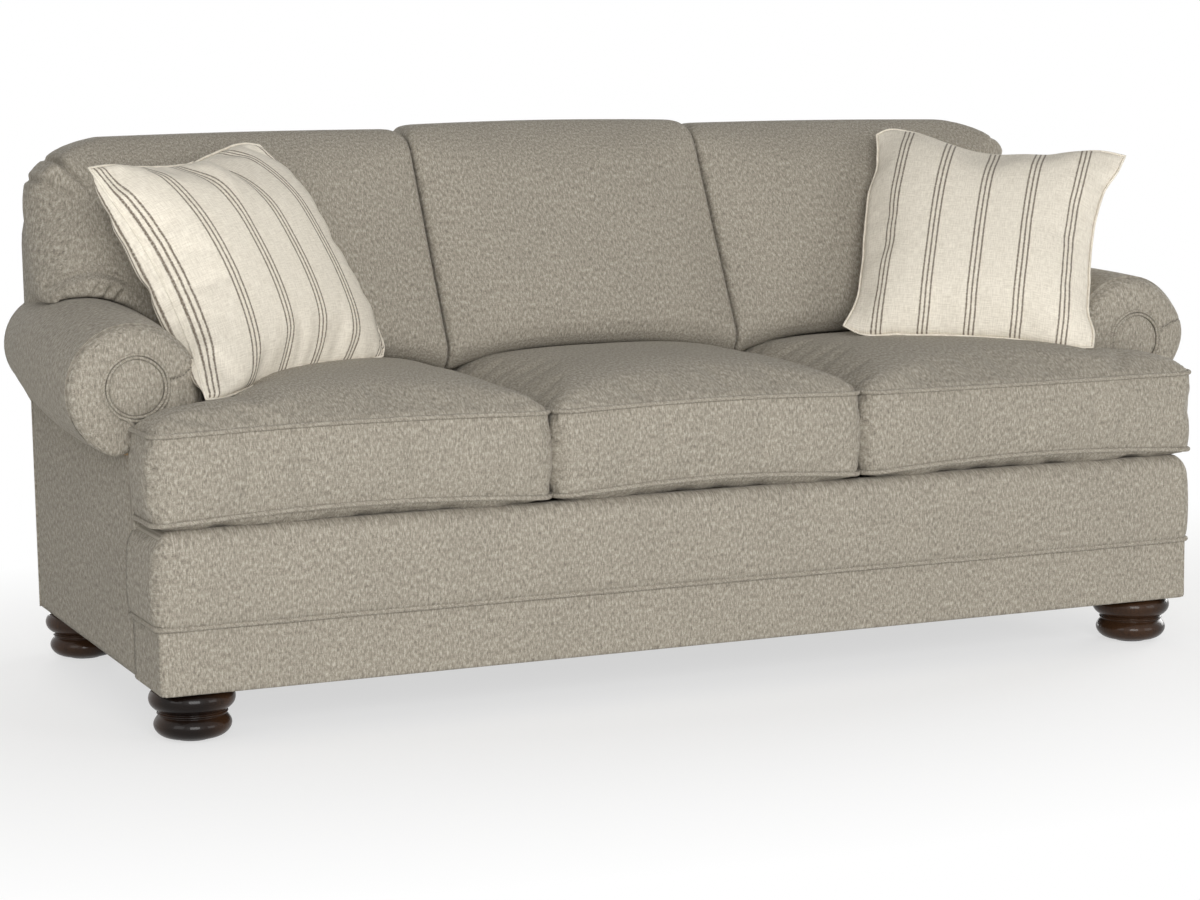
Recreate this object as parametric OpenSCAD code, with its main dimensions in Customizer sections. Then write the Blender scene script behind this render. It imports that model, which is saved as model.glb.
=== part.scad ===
// Three-seat sofa with rolled arms, T-shaped seat cushions, a pillow back,
// a padded front rail with a welted border, turned bun feet and two throw pillows.
// Origin: centre of the footprint on the floor. +X right, -Y front, +Z up.

/* [Base] */
// Width of the base over its border band
base_w = 1960; // [1920:10:2060]
// Depth of the base, front band to outside back
base_d = 900; // [890:5:910]
// Height of the base above the floor, which is the height of the feet
foot_h = 88; // [84:1:92]
// Height of the flat border band at the foot of the front
band_h = 114; // [100:1:120]
// Height of the sprung deck that the seat cushions lie on
deck_z = 350; // [347:1:352]

/* [Arms] */
// Radius of the rolled arm at its front
roll_r = 111.5; // [109:0.5:113]
// Height of the centre of the roll at its front
roll_z = 565; // [563:1:568]
// Distance from the front of the base back to the arm front
arm_setback = 151; // [145:1:160]
// Radius of the round button panel on the arm front
button_r = 44; // [40:1:50]

/* [Seat cushions] */
// Width from one seam between the cushions to the other
seam_w = 590; // [560:5:620]
// Height of the lower welt of the seat cushions
seat_bottom = 366; // [364:1:370]
// Height of the upper welt of the seat cushions
seat_top = 510; // [500:1:514]
// Height of the crown above the upper welt
seat_crown = 66; // [50:1:66]

/* [Back cushions] */
// Height of the outer back cushions
back_top = 976; // [960:1:980]
// Height of the centre back cushion
centre_top = 984; // [970:1:986]
// Bulge of the front of a back cushion
back_crown = 34; // [24:1:36]
// Radius of the shoulder at the outer top corners
shoulder_r = 140; // [110:5:150]

/* [Throw pillows] */
// Side of a square throw pillow
pillow_size = 460; // [430:5:460]
// Half thickness of a throw pillow in its middle
pillow_crown = 62; // [50:1:66]

/* [Feet] */
// Largest radius of a turned foot
foot_r = 72; // [66:1:74]
// Distance from the side of the base to a foot's axis
foot_in_x = 68; // [66:1:74]
// Distance from the front or back of the base to a foot's axis
foot_in_y = 74; // [72:1:78]

/* [Hidden] */

$fn = 48;
fabric = [0.50, 0.47, 0.42];
timber = [0.72, 0.56, 0.36];
steel = [0.62, 0.63, 0.65];
foam = [0.93, 0.89, 0.72];
walnut = [0.20, 0.11, 0.07];
linen = [0.86, 0.82, 0.73];

// Base planes
half_w = base_w / 2;
front_y = -base_d / 2;
back_y = base_d / 2;
skin = 10;              // upholstered wall over the frame
board = 25;             // thickness of the frame rails
band_top = foot_h + band_h;
rail_top = 315;         // top of the seat rails, where the springs sit
rail_bottom = foot_h + 2;
return_y = front_y + 168; // where the front section ends on the sides
side_x = half_w - skin; // outside of the timber frame
frame_x = side_x - board;
frame_y = back_y - skin;
lean_out = 20;          // the outside back leans out by this at its top
back_frame_top = 931;

// Arm planes
arm_y = front_y + arm_setback;
roll_x = half_w - 12;
arm_x = half_w - 134;   // inside of the arm below its roll
face_round = 24;        // rounding of the arm front
arm_back = back_y - 10;
rear_roll_x = 932;      // the roll runs inward and upward to its rear, and narrows
rear_roll_z = 585;
rear_roll_r = 94.5;
roll_swell = 14;        // extra radius in the middle of its length
arm_foot = deck_z - 24; // lower edge of the inside arm

// Seat cushion planes
nose_y = front_y - 20;
seat_back = 175;
ear_y = arm_y - 7;
seam_gap = 5.5;         // from the seam's centre to a cushion's welt line
ear_x = half_w + 7;
inner_x = arm_x - 8;
welt = 4.5;
ear_blend = 60;         // half the depth over which the crown narrows behind an ear
core_gap = 32;          // from a cushion's welt line to the side of its core
core_skin = 12;         // from a cushion's welt line to the top or bottom of its core

// Slopes of the back: front faces lean more than the rear faces, so the cushions taper upward
front_slope = 0.514;
rear_slope = 0.303;
low_z = 540;            // height at which both faces are placed
front_low = 13;
rear_low = 243;
function front_face(z) = front_low + (z - low_z) * front_slope;
function rear_face(z) = rear_low + (z - low_z) * rear_slope;
rear_lean = atan(rear_slope);

// Spring strips
wire = 3.8;
strip_w = 50;
strip_pitch = 32;

function mix(a, b, t) = a + (b - a) * t;

// Points of an arc about c
function arc(c, r, from, to, steps) =
    [for (i = [0 : steps]) c + r * [cos(mix(from, to, i / steps)), sin(mix(from, to, i / steps))]];

// Points between a and b, drawn in to the left of the way from a to b
function drawn(a, b, count, pull) =
    let (way = (b - a) / norm(b - a), left = [-way[1], way[0]])
    [for (i = [1 : count]) mix(a, b, i / (count + 1)) + left * pull * sin(180 * i / (count + 1))];

// Four-sided outline with drawn-in sides. lo and hi are opposite corners, inset moves every side
// inward, r_top and r_low are the corner radii, and pulls are for the low, right, top and left sides
function box_outline(lo, hi, inset, r_low, r_top, pulls) =
    let (a = lo + [inset, inset], b = hi - [inset, inset],
         p = max(r_low - inset, 6), q = max(r_top - inset, 6))
    concat(
        arc([a[0] + p, a[1] + p], p, 180, 270, 3),
        drawn([a[0] + p, a[1]], [b[0] - p, a[1]], 5, pulls[0]),
        arc([b[0] - p, a[1] + p], p, 270, 360, 3),
        drawn([b[0], a[1] + p], [b[0], b[1] - q], 4, pulls[1]),
        arc([b[0] - q, b[1] - q], q, 0, 90, 3),
        drawn([b[0] - q, b[1]], [a[0] + q, b[1]], 5, pulls[2]),
        arc([a[0] + q, b[1] - q], q, 90, 180, 3),
        drawn([a[0], b[1] - q], [a[0], a[1] + p], 4, pulls[3]));

// Outline of the right seat cushion, with an ear that reaches in front of the arm
function seat_outline(inset, pull = 5) =
    let (a = [seam_w / 2 + seam_gap + inset, nose_y + 5 + inset], e = [ear_x - inset, ear_y - 5 - inset],
         b = [inner_x - inset, seat_back - 5 - inset], r = max(34 - inset, 6), c = 10 + inset)
    concat(
        arc([a[0] + r, a[1] + r], r, 180, 270, 3),
        drawn([a[0] + r, a[1]], [e[0] - r, a[1]], 6, pull),
        arc([e[0] - r, a[1] + r], r, 270, 360, 3),
        drawn([e[0], a[1] + r], [e[0], e[1] - r], 1, 1),
        arc([e[0] - r, e[1] - r], r, 0, 90, 3),
        arc([b[0] + c, e[1] + c], c, 270, 180, 2),
        drawn([b[0], e[1] + c], [b[0], b[1] - r], 3, pull),
        arc([b[0] - r, b[1] - r], r, 0, 90, 3),
        drawn([b[0] - r, b[1]], [a[0] + r, b[1]], 4, pull),
        arc([a[0] + r, b[1] - r], r, 90, 180, 3),
        drawn([a[0], b[1] - r], [a[0], a[1] + r], 5, pull));

function centre_outline(inset, pull = 5) =
    box_outline([-seam_w / 2 + seam_gap, nose_y + 5], [seam_w / 2 - seam_gap, seat_back - 5],
                inset, 34, 34, [pull, pull, pull, pull]);

// Outline of the right back cushion, seen from the front, with an ear over the arm
back_low = seat_top + 26;   // lower edge of the back cushions at the seams
back_in = inner_x - 10;     // narrow part, between the arms
ear_low = 699;
ear_out = half_w + 36;
// The lower edge follows the crown of the seat from seam to seam or arm. t runs from 0 to 1
function low_edge(t, inset) = seat_top + 2 + inset + mix(24, seat_crown, 0.88 * dome(t));
function low_points(from_x, to_x, left_x, right_x, inset) = [for (i = [0 : 8])
    let (x = mix(from_x, to_x, i / 8)) [x, low_edge((x - left_x) / (right_x - left_x), inset)]];
function back_outline(inset) =
    let (a = [seam_w / 2 + 3 + inset, back_low + inset], b = [back_in - inset, ear_low + inset],
         e = [ear_out - inset, back_top - inset], r = max(34 - inset, 6), c = 14 + inset,
         q = max(12 - inset, 6), s = shoulder_r - inset)
    concat(
        [[a[0], a[1] + q]],
        low_points(a[0] + q, b[0] - q, seam_w / 2, inner_x, inset),
        [[b[0], a[1] + q]],
        drawn([b[0], a[1] + q], [b[0], b[1] - c], 1, 2),
        arc([b[0] + c, b[1] - c], c, 180, 90, 2),
        arc([e[0] - r, b[1] + r], r, 270, 360, 3),
        arc([e[0] - s, e[1] - s], s, 0, 90, 5),
        drawn([e[0] - s, e[1]], [a[0] + r, e[1]], 4, -4),
        arc([a[0] + r, e[1] - r], r, 90, 180, 3),
        drawn([a[0], e[1] - r], [a[0], a[1] + q], 4, 2));

function centre_back_outline(inset) =
    let (h = seam_w / 2 - 3 - inset, top = centre_top - inset, r = max(34 - inset, 6),
         q = max(12 - inset, 6), low = back_low + inset)
    concat(
        [[-h, low + q]],
        low_points(-h + q, h - q, -seam_w / 2, seam_w / 2, inset),
        [[h, low + q]],
        drawn([h, low + q], [h, top - r], 4, 2),
        arc([h - r, top - r], r, 0, 90, 3),
        drawn([h - r, top], [-h + r, top], 5, -6),
        arc([-h + r, top - r], r, 90, 180, 3),
        drawn([-h, top - r], [-h, low + q], 4, 2));

// Outline moved towards a point, for the rings of a crown
function shrink(pts, c, s) = [for (p = pts) mix(c, p, s)];

// Rise of a crown across a width, 0 at its ends and 1 in its middle
function dome(t) = 1 - pow(min(abs(2 * t - 1), 1), 3);

// Closed skin over rings of points, with a point at each end
module loft(rings, first, last) {
    n = len(rings[0]);
    m = len(rings);
    points = concat([first], [for (ring = rings) each ring], [last]);
    caps = concat(
        [for (i = [0 : n - 1]) [0, 1 + i, 1 + (i + 1) % n]],
        [for (i = [0 : n - 1]) [m * n + 1, (m - 1) * n + 1 + (i + 1) % n, (m - 1) * n + 1 + i]]);
    walls = [for (j = [0 : m - 2]) for (i = [0 : n - 1])
        let (a = 1 + j * n + i, b = 1 + j * n + (i + 1) % n, c = a + n, d = b + n)
        each [[a, c, b], [b, c, d]]];
    polyhedron(points, concat(caps, walls), convexity = 6);
}

// Seat cushion over an outline: crowned top, shallow crown below, boxing that stands a little proud.
// right_x(y) is the cushion's right side at depth y
module seat_form(outlines, centre, left_x, ear) {
    edge_rise = 24;     // height of the crown at its edge
    edge_drop = 9;
    function right_x(y) =
        ear ? mix(ear_x, inner_x, min(max((y - ear_y + ear_blend) / (2 * ear_blend), 0), 1)) : -left_x;
    function crown(p) =
        dome((p[0] - left_x) / (right_x(p[1]) - left_x)) * dome((p[1] - nose_y) / (seat_back - nose_y));
    function upper(pts, k) =
        [for (p = pts) [p[0], p[1], seat_top + k * mix(edge_rise, seat_crown, crown(p))]];
    function lower(pts, k) =
        [for (p = pts) [p[0], p[1], max(deck_z + 1, seat_bottom - k * (edge_drop + 14 * crown(p)))]];
    function wall(pts, z) = [for (p = pts) [p[0], p[1], z]];
    line = outlines[1];
    tall = seat_top - seat_bottom;
    loft([
        lower(shrink(outlines[4], centre, 0.6), 1),
        lower(outlines[4], 1),
        lower(outlines[2], 0.6),
        wall(line, seat_bottom),
        wall(outlines[0], seat_bottom + tall * 0.22),
        wall(outlines[0], seat_bottom + tall * 0.78),
        wall(line, seat_top),
        upper(outlines[2], 0.4),
        upper(outlines[3], 0.78),
        upper(outlines[4], 1),
        upper(shrink(outlines[4], centre, 0.72), 1),
        upper(shrink(outlines[4], centre, 0.38), 1),
    ], [centre[0], centre[1], deck_z + 1], upper([centre], 1)[0]);
}

// Plain T-shaped slab inside a right seat cushion
module seat_slab(clear) {
    g = core_gap - clear;
    translate([0, 0, seat_bottom + core_skin - clear])
        linear_extrude(seat_top - seat_bottom - 2 * (core_skin - clear))
            polygon([
                [seam_w / 2 + g, nose_y + g], [ear_x - g, nose_y + g], [ear_x - g, ear_y - g],
                [inner_x - g, ear_y - g], [inner_x - g, seat_back - g], [seam_w / 2 + g, seat_back - g]]);
}

module centre_slab(clear) {
    g = core_gap - clear;
    translate([-seam_w / 2 + g, nose_y + g, seat_bottom + core_skin - clear])
        cube([seam_w - 2 * g, seat_back - nose_y - 2 * g, seat_top - seat_bottom - 2 * (core_skin - clear)]);
}

insets = [-5, 0, 7, 20, 40];    // of the outlines: boxing, welt line, and three rings of the crown

module seat_side_form() {
    difference() {
        seat_form([for (d = insets) seat_outline(d)], [560, nose_y + 90], seam_w / 2, true);
        seat_slab(0.5);
    }
}

module seat_centre_form() {
    difference() {
        seat_form([for (d = insets) centre_outline(d)], [0, (nose_y + seat_back) / 2], -seam_w / 2, false);
        centre_slab(0.5);
    }
}

// Upper and lower welt around an outline
module welt_rings(inner, outer) {
    for (z = [seat_bottom, seat_top])
        translate([0, 0, z - welt])
            linear_extrude(2 * welt) difference() {
                polygon(outer);
                polygon(inner);
            }
}

// Back cushion over an outline in the X-Z plane. Its rings run from the flat rear to the crown
module back_form(outlines, centre, left_x, right_x, top) {
    set_back = 8;       // how far the edge of the front lies behind its face
    edge_rise = 3;
    function crown(p) =
        dome((p[0] - left_x) / (right_x - left_x)) * dome((p[1] - back_low) / (top - back_low));
    function front_y_at(p, k) =
        front_face(p[1]) + set_back * (1 - k) - k * (edge_rise + back_crown * crown(p));
    function front(pts, k) = [for (p = pts) [p[0], front_y_at(p, k), p[1]]];
    function rear(pts, forward) = [for (p = pts) [p[0], rear_face(p[1]) - forward, p[1]]];
    function middle(pts) =
        [for (p = pts) [p[0], mix(front_face(p[1]), rear_face(p[1]), 0.55), p[1]]];
    loft([
        rear(shrink(outlines[3], centre, 0.6), 0),
        rear(outlines[3], 0),
        rear(outlines[1], 16),
        middle(outlines[0]),
        front(outlines[1], 0),
        front(outlines[2], 0.65),
        front(outlines[3], 0.9),
        front(outlines[4], 1),
        front(shrink(outlines[4], centre, 0.66), 1),
        front(shrink(outlines[4], centre, 0.33), 1),
    ], rear([centre], 0)[0], front([centre], 1)[0]);
}

back_insets = [0, 2, 8, 26, 56];

// Fibre core of a back cushion, a leaning slab
module back_core(from_x, to_x, clear) {
    cover = 60 - clear;     // cushion above and below the core
    front = 40 - clear;
    rear = 30 - clear;
    low = back_low + cover;
    high = back_top - cover;
    translate([from_x - clear, 0, 0]) rotate([90, 0, 90])
        linear_extrude(to_x - from_x + 2 * clear)
            polygon([
                [front_face(low) + front, low], [rear_face(low) - rear, low],
                [rear_face(high) - rear, high], [front_face(high) + front, high]]);
}

module side_back_core(clear) {
    back_core(seam_w / 2 + 50, inner_x - 60, clear);
}

module centre_back_core(clear) {
    back_core(-seam_w / 2 + 50, seam_w / 2 - 50, clear);
}

module back_side_form() {
    difference() {
        back_form([for (d = back_insets) back_outline(d)], [580, 800], seam_w / 2, ear_out, back_top);
        side_back_core(0.5);
    }
}

// Square throw pillow standing on its lower edge, with its face to -Y, drawn-in sides and pointed corners
module pillow_form() {
    h = pillow_size / 2;
    edge = box_outline([-h, -h], [h, h], 0, 7, 7, [20, 20, 20, 20]);
    back_part = 0.7;    // the rear lies against the sofa and is flatter
    // Rings grow rounder towards the middle of the face
    function ring(s, y) = [for (p = edge)
        let (q = mix(p, p / norm(p) * h, pow(1 - s, 0.7)) * s) [q[0], y, q[1]]];
    difference() {
        loft([
            ring(0.35, back_part * pillow_crown * 0.95),
            ring(0.62, back_part * pillow_crown * 0.78),
            ring(0.84, back_part * pillow_crown * 0.42),
            ring(0.96, 8),
            ring(1, 2),
            ring(1, -2),
            ring(0.96, -9),
            ring(0.84, -pillow_crown * 0.42),
            ring(0.62, -pillow_crown * 0.78),
            ring(0.35, -pillow_crown * 0.95),
        ], [0, back_part * pillow_crown, 0], [0, -pillow_crown, 0]);
        pillow_core(0.5);
    }
}

// Pad of fibre inside a throw pillow
module pillow_core(clear) {
    thick = 40;
    rotate([90, 0, 0]) translate([0, 0, -18 - clear]) cylinder(r = 110 + clear, h = thick + 2 * clear);
}

module place_left_pillow() {
    translate([-714, -34, 758]) rotate([-33, -4, 32.5]) children();
}

module place_right_pillow() {
    translate([744, -108, 752]) rotate([-41, 4.5, -36]) children();
}

// Same shape on both sides
module both_sides() {
    children();
    mirror([1, 0, 0]) children();
}

module block(lo, hi) {
    translate(lo) cube(hi - lo);
}

// Prism along X of an outline given as Y, Z
module along_x(pts, from_x, to_x) {
    translate([from_x, 0, 0]) rotate([90, 0, 90]) linear_extrude(to_x - from_x) polygon(pts);
}

// Prism along Y of the two-dimensional children, which are drawn as X, Z
module along_y(from_y, to_y) {
    translate([0, to_y, 0]) rotate([90, 0, 0]) linear_extrude(to_y - from_y) children();
}

// Front wall with a short return on each side, seen from above
module front_wrap(half, front, wall_side, wall_front, r, low, high) {
    translate([0, 0, low]) linear_extrude(high - low) difference() {
        union() {
            translate([-half, front + r]) square([2 * half, return_y - front - r]);
            translate([-half + r, front]) square([2 * (half - r), r + 1]);
            for (x = [-1, 1]) translate([x * (half - r), front + r]) circle(r);
        }
        translate([-half + wall_side, front + wall_front]) square([2 * (half - wall_side), base_d]);
    }
}

// Ring around the roll at depth y
function roll_ring(y, inset) =
    let (k = (y - arm_y) / (arm_back - arm_y),
         r = mix(roll_r, rear_roll_r, k) + roll_swell * 4 * k * (1 - k) - inset)
    [for (i = [0 : 71])
        [mix(roll_x, rear_roll_x, k) + r * cos(5 * i), y, mix(roll_z, rear_roll_z, k) + r * sin(5 * i)]];

function middle_of(ring) = (ring[0] + ring[36]) / 2;

// The roll between two depths
module roll_solid(from_y, to_y, inset) {
    rings = [for (i = [0 : 6]) roll_ring(mix(to_y, from_y, i / 6), inset)];
    loft(rings, middle_of(rings[0]), middle_of(rings[6]));
}

// The wall below the roll, which leans a little outward where it meets it
module arm_wall(from_y, to_y, inset, outer, low) {
    along_y(from_y, to_y) polygon([
        [arm_x + inset, low], [outer, low], [outer, roll_z], [arm_x + 14 + inset, roll_z],
        [arm_x + inset, roll_z - 60]]);
}

// One strip of sinuous wire along Y, as a closed outline. side is 1 on the left of its run, -1 on the right
function strip_side(bars, side) =
    let (r = strip_pitch / 2, reach = strip_w / 2 - r, last = (bars - 1) % 2 == 0 ? 1 : -1)
    concat(
        [[-reach, side * wire / 2]],
        [for (k = [0 : bars - 2])
            let (right = k % 2 == 0, rr = r + (right ? -side : side) * wire / 2,
                 c = [(right ? reach : -reach), (k + 0.5) * strip_pitch])
            each (right ? arc(c, rr, -90, 90, 4) : arc(c, rr, 270, 90, 4))],
        [[last * reach, (bars - 1) * strip_pitch + side * last * wire / 2]]);

function reversed(list) = [for (i = [len(list) - 1 : -1 : 0]) list[i]];

module spring_strip(bars) {
    linear_extrude(wire) polygon(concat(strip_side(bars, 1), reversed(strip_side(bars, -1))));
}

// Small bridge that holds the end bar of a strip
module spring_clip() {
    difference() {
        translate([-8, -7, 0]) cube([16, 14, clip_h]);
        translate([-9, -wire / 2 - 0.2, -1]) cube([18, wire + 0.4, wire + 1.2]);
    }
}

clip_h = 5.6;
seat_bars = 27;
back_bars = 14;
strip_gap = 194;
strip_xs = [for (i = [-4 : 4]) i * strip_gap];
back_strip_xs = [for (seat = [-1, 0, 1]) for (i = [-1, 0, 1]) seat * (seam_w - 25) + i * 150];
seat_strip_y = -(seat_bars - 1) * strip_pitch / 2;
back_strip_z = 507;

module on_back_plane(x) {
    translate([x, rear_face(back_strip_z) + 19.5, back_strip_z]) rotate([90 - rear_lean, 0, 0]) children();
}

// Frame

module front_rail() {
    color(timber)
        block([-frame_x, front_y + skin, rail_bottom], [frame_x, front_y + skin + board, rail_top]);
}

module back_rail() {
    color(timber) block([-frame_x, frame_y - board, rail_bottom], [frame_x, frame_y, rail_top]);
}

module side_rails() {
    color(timber) both_sides() block([frame_x, front_y + skin, rail_bottom], [side_x, frame_y, rail_top]);
}

module seat_stretchers() {
    color(timber) for (x = [-seam_w / 2, seam_w / 2])
        block([x - board / 2, front_y + skin + board, 190], [x + board / 2, frame_y - board, 250]);
}

block_h = 40;
block_w = 84;

module corner_blocks() {
    color(timber) both_sides() for (y = [-1, 1]) difference() {
        block([frame_x - block_w, y < 0 ? front_y + skin + board : frame_y - board - block_w, rail_bottom],
              [frame_x, y < 0 ? front_y + skin + board + block_w : frame_y - board, rail_bottom + block_h]);
        translate([half_w - foot_in_x, y * (back_y - foot_in_y), rail_bottom - 1])
            cylinder(r = 5.4, h = block_h + 2);
    }
}

board_y = arm_y + face_round;   // front of the scroll board
scroll = 22;                    // thickness of a scroll board
rear_board_y = frame_y - board - scroll;
post_z = rail_bottom + block_h + 10; // foot of the scroll boards, above the corner blocks

module scroll_board(y) {
    roll_solid(y, y + scroll, 6);
    arm_wall(y, y + scroll, 9, frame_x, post_z);
}

module arm_boards() {
    color(timber) both_sides() {
        scroll_board(board_y);
        scroll_board(rear_board_y);
    }
}

module arm_rails() {
    color(timber) both_sides() {
        block([rear_roll_x - 12, board_y + scroll, roll_z + 24],
              [rear_roll_x + 48, rear_board_y, roll_z + 46]);
        block([frame_x - 22, board_y + scroll, 420], [frame_x, rear_board_y, 446]);
    }
}

upright_w = 22;
upright_xs = [-back_in + 12, -seam_w / 2, seam_w / 2, back_in - 12];
top_rail_z = back_frame_top - skin - 24;
wing_w = 14;            // posts over the arms, behind the ears of the back
wing_top = 835;
wing_low = 693;

module back_uprights() {
    color(timber) for (x = upright_xs) difference() {
        along_x([
            [rear_face(rail_top) + 20, rail_top], [frame_y, rail_top],
            [frame_y + lean_out * 0.9, top_rail_z], [rear_face(top_rail_z) + 20, top_rail_z]],
            x - upright_w / 2, x + upright_w / 2);
        along_x([
            [300, rail_top + 50], [frame_y - 50, rail_top + 50],
            [frame_y - 50, 560], [345, 560]], x - upright_w, x + upright_w);
    }
    color(timber) both_sides() along_x([
        [rear_face(wing_low) + 20, wing_low], [frame_y, wing_low],
        [frame_y + lean_out * 0.7, wing_top], [rear_face(wing_top) + 20, wing_top]],
        rear_roll_x - wing_w / 2, rear_roll_x + wing_w / 2);
}

module back_rails() {
    color(timber) {
        along_x([
            [rear_face(top_rail_z) + 20, top_rail_z], [frame_y + lean_out * 0.9, top_rail_z],
            [frame_y + lean_out * 0.9, top_rail_z + 24], [rear_face(top_rail_z + 24) + 20, top_rail_z + 24]],
            -back_in - 4, back_in + 4);
        for (i = [0 : 2])
            along_x([
                [rear_face(490) + 20, 490], [rear_face(490) + 45, 490],
                [rear_face(530) + 45, 530], [rear_face(530) + 20, 530]],
                upright_xs[i] + upright_w / 2, upright_xs[i + 1] - upright_w / 2);
    }
}

module screw_x(x, y, z) {
    translate([x, y, z]) rotate([0, 90, 0]) {
        cylinder(r = 2.5, h = 60);
        cylinder(r1 = 5, r2 = 2.5, h = 4);
    }
}

// Screws through the side rails into the ends of the front and back rails
module frame_screws() {
    color(steel) for (turn = [0, 180]) rotate([0, 0, turn])
        for (y = [-(frame_y - board / 2), frame_y - board / 2])
            for (z = [130, 200, 270]) screw_x(-side_x, y, z);
}

// Springs

module seat_springs() {
    color(steel) for (x = strip_xs) translate([x, seat_strip_y, rail_top]) spring_strip(seat_bars);
}

module back_springs() {
    color(steel) for (x = back_strip_xs) on_back_plane(x) spring_strip(back_bars);
}

module spring_clips() {
    color(steel) {
        for (x = strip_xs) for (y = [seat_strip_y, -seat_strip_y]) translate([x, y, rail_top]) spring_clip();
        for (x = back_strip_xs) on_back_plane(x) for (k = [0, back_bars - 1])
            translate([0, k * strip_pitch, 0]) spring_clip();
    }
}

module spring_ties() {
    color(steel) for (y = [-200, -40, 120])
        translate([-arm_x + 6, y, rail_top + wire + 1.5]) rotate([0, 90, 0])
            cylinder(r = 1.5, h = 2 * arm_x - 12, $fn = 24);
}

// T-shaped sheet over the deck, wide in front of the arms
module deck_sheet(low, high, front, rear) {
    wide = side_x - 4;
    narrow = arm_x - 1;
    translate([0, 0, low]) linear_extrude(high - low) polygon([
        [-wide, front], [wide, front], [wide, arm_y - 1], [narrow, arm_y - 1], [narrow, rear],
        [-narrow, rear], [-narrow, arm_y - 1], [-wide, arm_y - 1]]);
}

module spring_insulator() {
    color([0.75, 0.66, 0.48]) deck_sheet(rail_top + 7, rail_top + 9, front_y + 14, 172);
}

module deck_pad() {
    color(foam) deck_sheet(rail_top + 9, deck_z - 2, front_y + 14, 175);
}

module deck_cloth() {
    color([0.36, 0.34, 0.31]) deck_sheet(deck_z - 2, deck_z, front_y + 14, rear_face(deck_z) - 2);
}

// Lined board of cloth and wadding that the back cushions lean on
module inside_back() {
    color(fabric) {
        along_x([
            [rear_face(deck_z + 1) + 1, deck_z + 1], [rear_face(deck_z + 1) + 13, deck_z + 1],
            [rear_face(920) + 13, 920], [rear_face(920) + 1, 920]], -back_in - 1, back_in + 1);
        both_sides() along_x([
            [rear_face(ear_low) + 1, ear_low], [rear_face(ear_low) + 13, ear_low],
            [rear_face(830) + 13, 830], [rear_face(830) + 1, 830]], back_in + 1, half_w + 6);
    }
}

// Covers of the base

panel_x = half_w + 4;
panel_y = front_y - 8;
panel_top = deck_z;

module front_panel() {
    corner = 44;
    color(fabric) intersection() {
        front_wrap(panel_x, panel_y, 12, 18, 26, band_top, panel_top);
        along_y(panel_y - 1, return_y + 1) {
            translate([-panel_x - 1, band_top - 1])
                square([2 * panel_x + 2, panel_top - band_top - corner + 1]);
            translate([-panel_x + corner, band_top])
                square([2 * (panel_x - corner), panel_top - band_top + 1]);
            for (x = [-1, 1]) translate([x * (panel_x - corner), panel_top - corner]) circle(corner);
        }
    }
}

module border_band() {
    color(fabric) front_wrap(half_w, front_y, skin, skin, 8, foot_h, band_top);
}

module band_welt() {
    color(fabric) difference() {
        front_wrap(half_w + welt, front_y - welt, skin, skin, 12, band_top - 2 * welt, band_top);
        front_wrap(half_w, front_y, skin + 1, skin + 1, 8, 0, 2 * band_top);
    }
}

// Its top edge follows the underside of the roll
module outside_arm() {
    difference() {
        block([side_x, return_y + 0.5, foot_h], [half_w, frame_y, roll_z - 45]);
        roll_solid(return_y - 5, frame_y + 1, -0.4);
    }
}

module outside_arm_left() {
    color(fabric) mirror([1, 0, 0]) outside_arm();
}

module outside_arm_right() {
    color(fabric) outside_arm();
}

// Outline of the outside back from behind, as X, Z
module rear_outline(inset, r) {
    half = half_w + 20 - inset;
    tall = back_frame_top - inset - roll_z;
    translate([-half, roll_z]) square([2 * half, tall - r]);
    translate([-half + r, roll_z]) square([2 * (half - r), tall]);
    for (x = [-1, 1]) translate([x * (half - r), roll_z + tall - r]) circle(r);
}

module outside_back() {
    wall_z = ear_low + 2;
    color(fabric) difference() {
        intersection() {
            along_x([
                [frame_y, foot_h], [back_y, foot_h], [back_y + lean_out, back_frame_top],
                [rear_face(back_frame_top) + 14, back_frame_top], [rear_face(wall_z) + 14, wall_z],
                [frame_y + lean_out * 0.7, wall_z]], -half_w - roll_r, half_w + roll_r);
            along_y(0, base_d) {
                rear_outline(0, 160);
                translate([-half_w, foot_h]) square([2 * half_w, roll_z - foot_h + 1]);
                for (x = [-1, 1]) translate([x * rear_roll_x, rear_roll_z]) circle(rear_roll_r, $fn = 96);
            }
        }
        intersection() {
            along_x([
                [0, wall_z - 50], [frame_y + lean_out * 0.7, wall_z - 50],
                [frame_y + lean_out, back_frame_top + 1], [0, back_frame_top + 1]],
                -half_w - 30, half_w + 30);
            along_y(0, base_d) rear_outline(skin, 150);
        }
    }
}

module dust_cover() {
    color([0.1, 0.1, 0.1]) difference() {
        block([-side_x, front_y + skin, foot_h + 0.4], [side_x, frame_y, rail_bottom]);
        both_sides() for (y = [-1, 1])
            translate([half_w - foot_in_x, y * (back_y - foot_in_y), foot_h - 1]) cylinder(r = 57, h = 6);
    }
}

// Arms

module arm_pads() {
    front = board_y + scroll + 0.5;
    rear = rear_board_y - 0.5;
    color(foam) both_sides() difference() {
        union() {
            roll_solid(front, rear, 4);
            arm_wall(front, rear, 3.3, side_x - 1, arm_foot);
        }
        union() {
            roll_solid(front - 1, rear + 1, 25);
            arm_wall(front - 1, rear + 1, 24, side_x, arm_foot - 1);
        }
    }
}

module arm_cover() {
    difference() {
        union() {
            roll_solid(board_y, arm_back, 0);
            arm_wall(board_y, arm_back, 0, side_x - 1, arm_foot);
        }
        union() {
            roll_solid(board_y - 1, arm_back + 1, 3);
            arm_wall(board_y - 1, arm_back + 1, 3, side_x, arm_foot - 1);
        }
    }
}

module arm_cover_left() {
    color(fabric) mirror([1, 0, 0]) arm_cover();
}

module arm_cover_right() {
    color(fabric) arm_cover();
}

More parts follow.
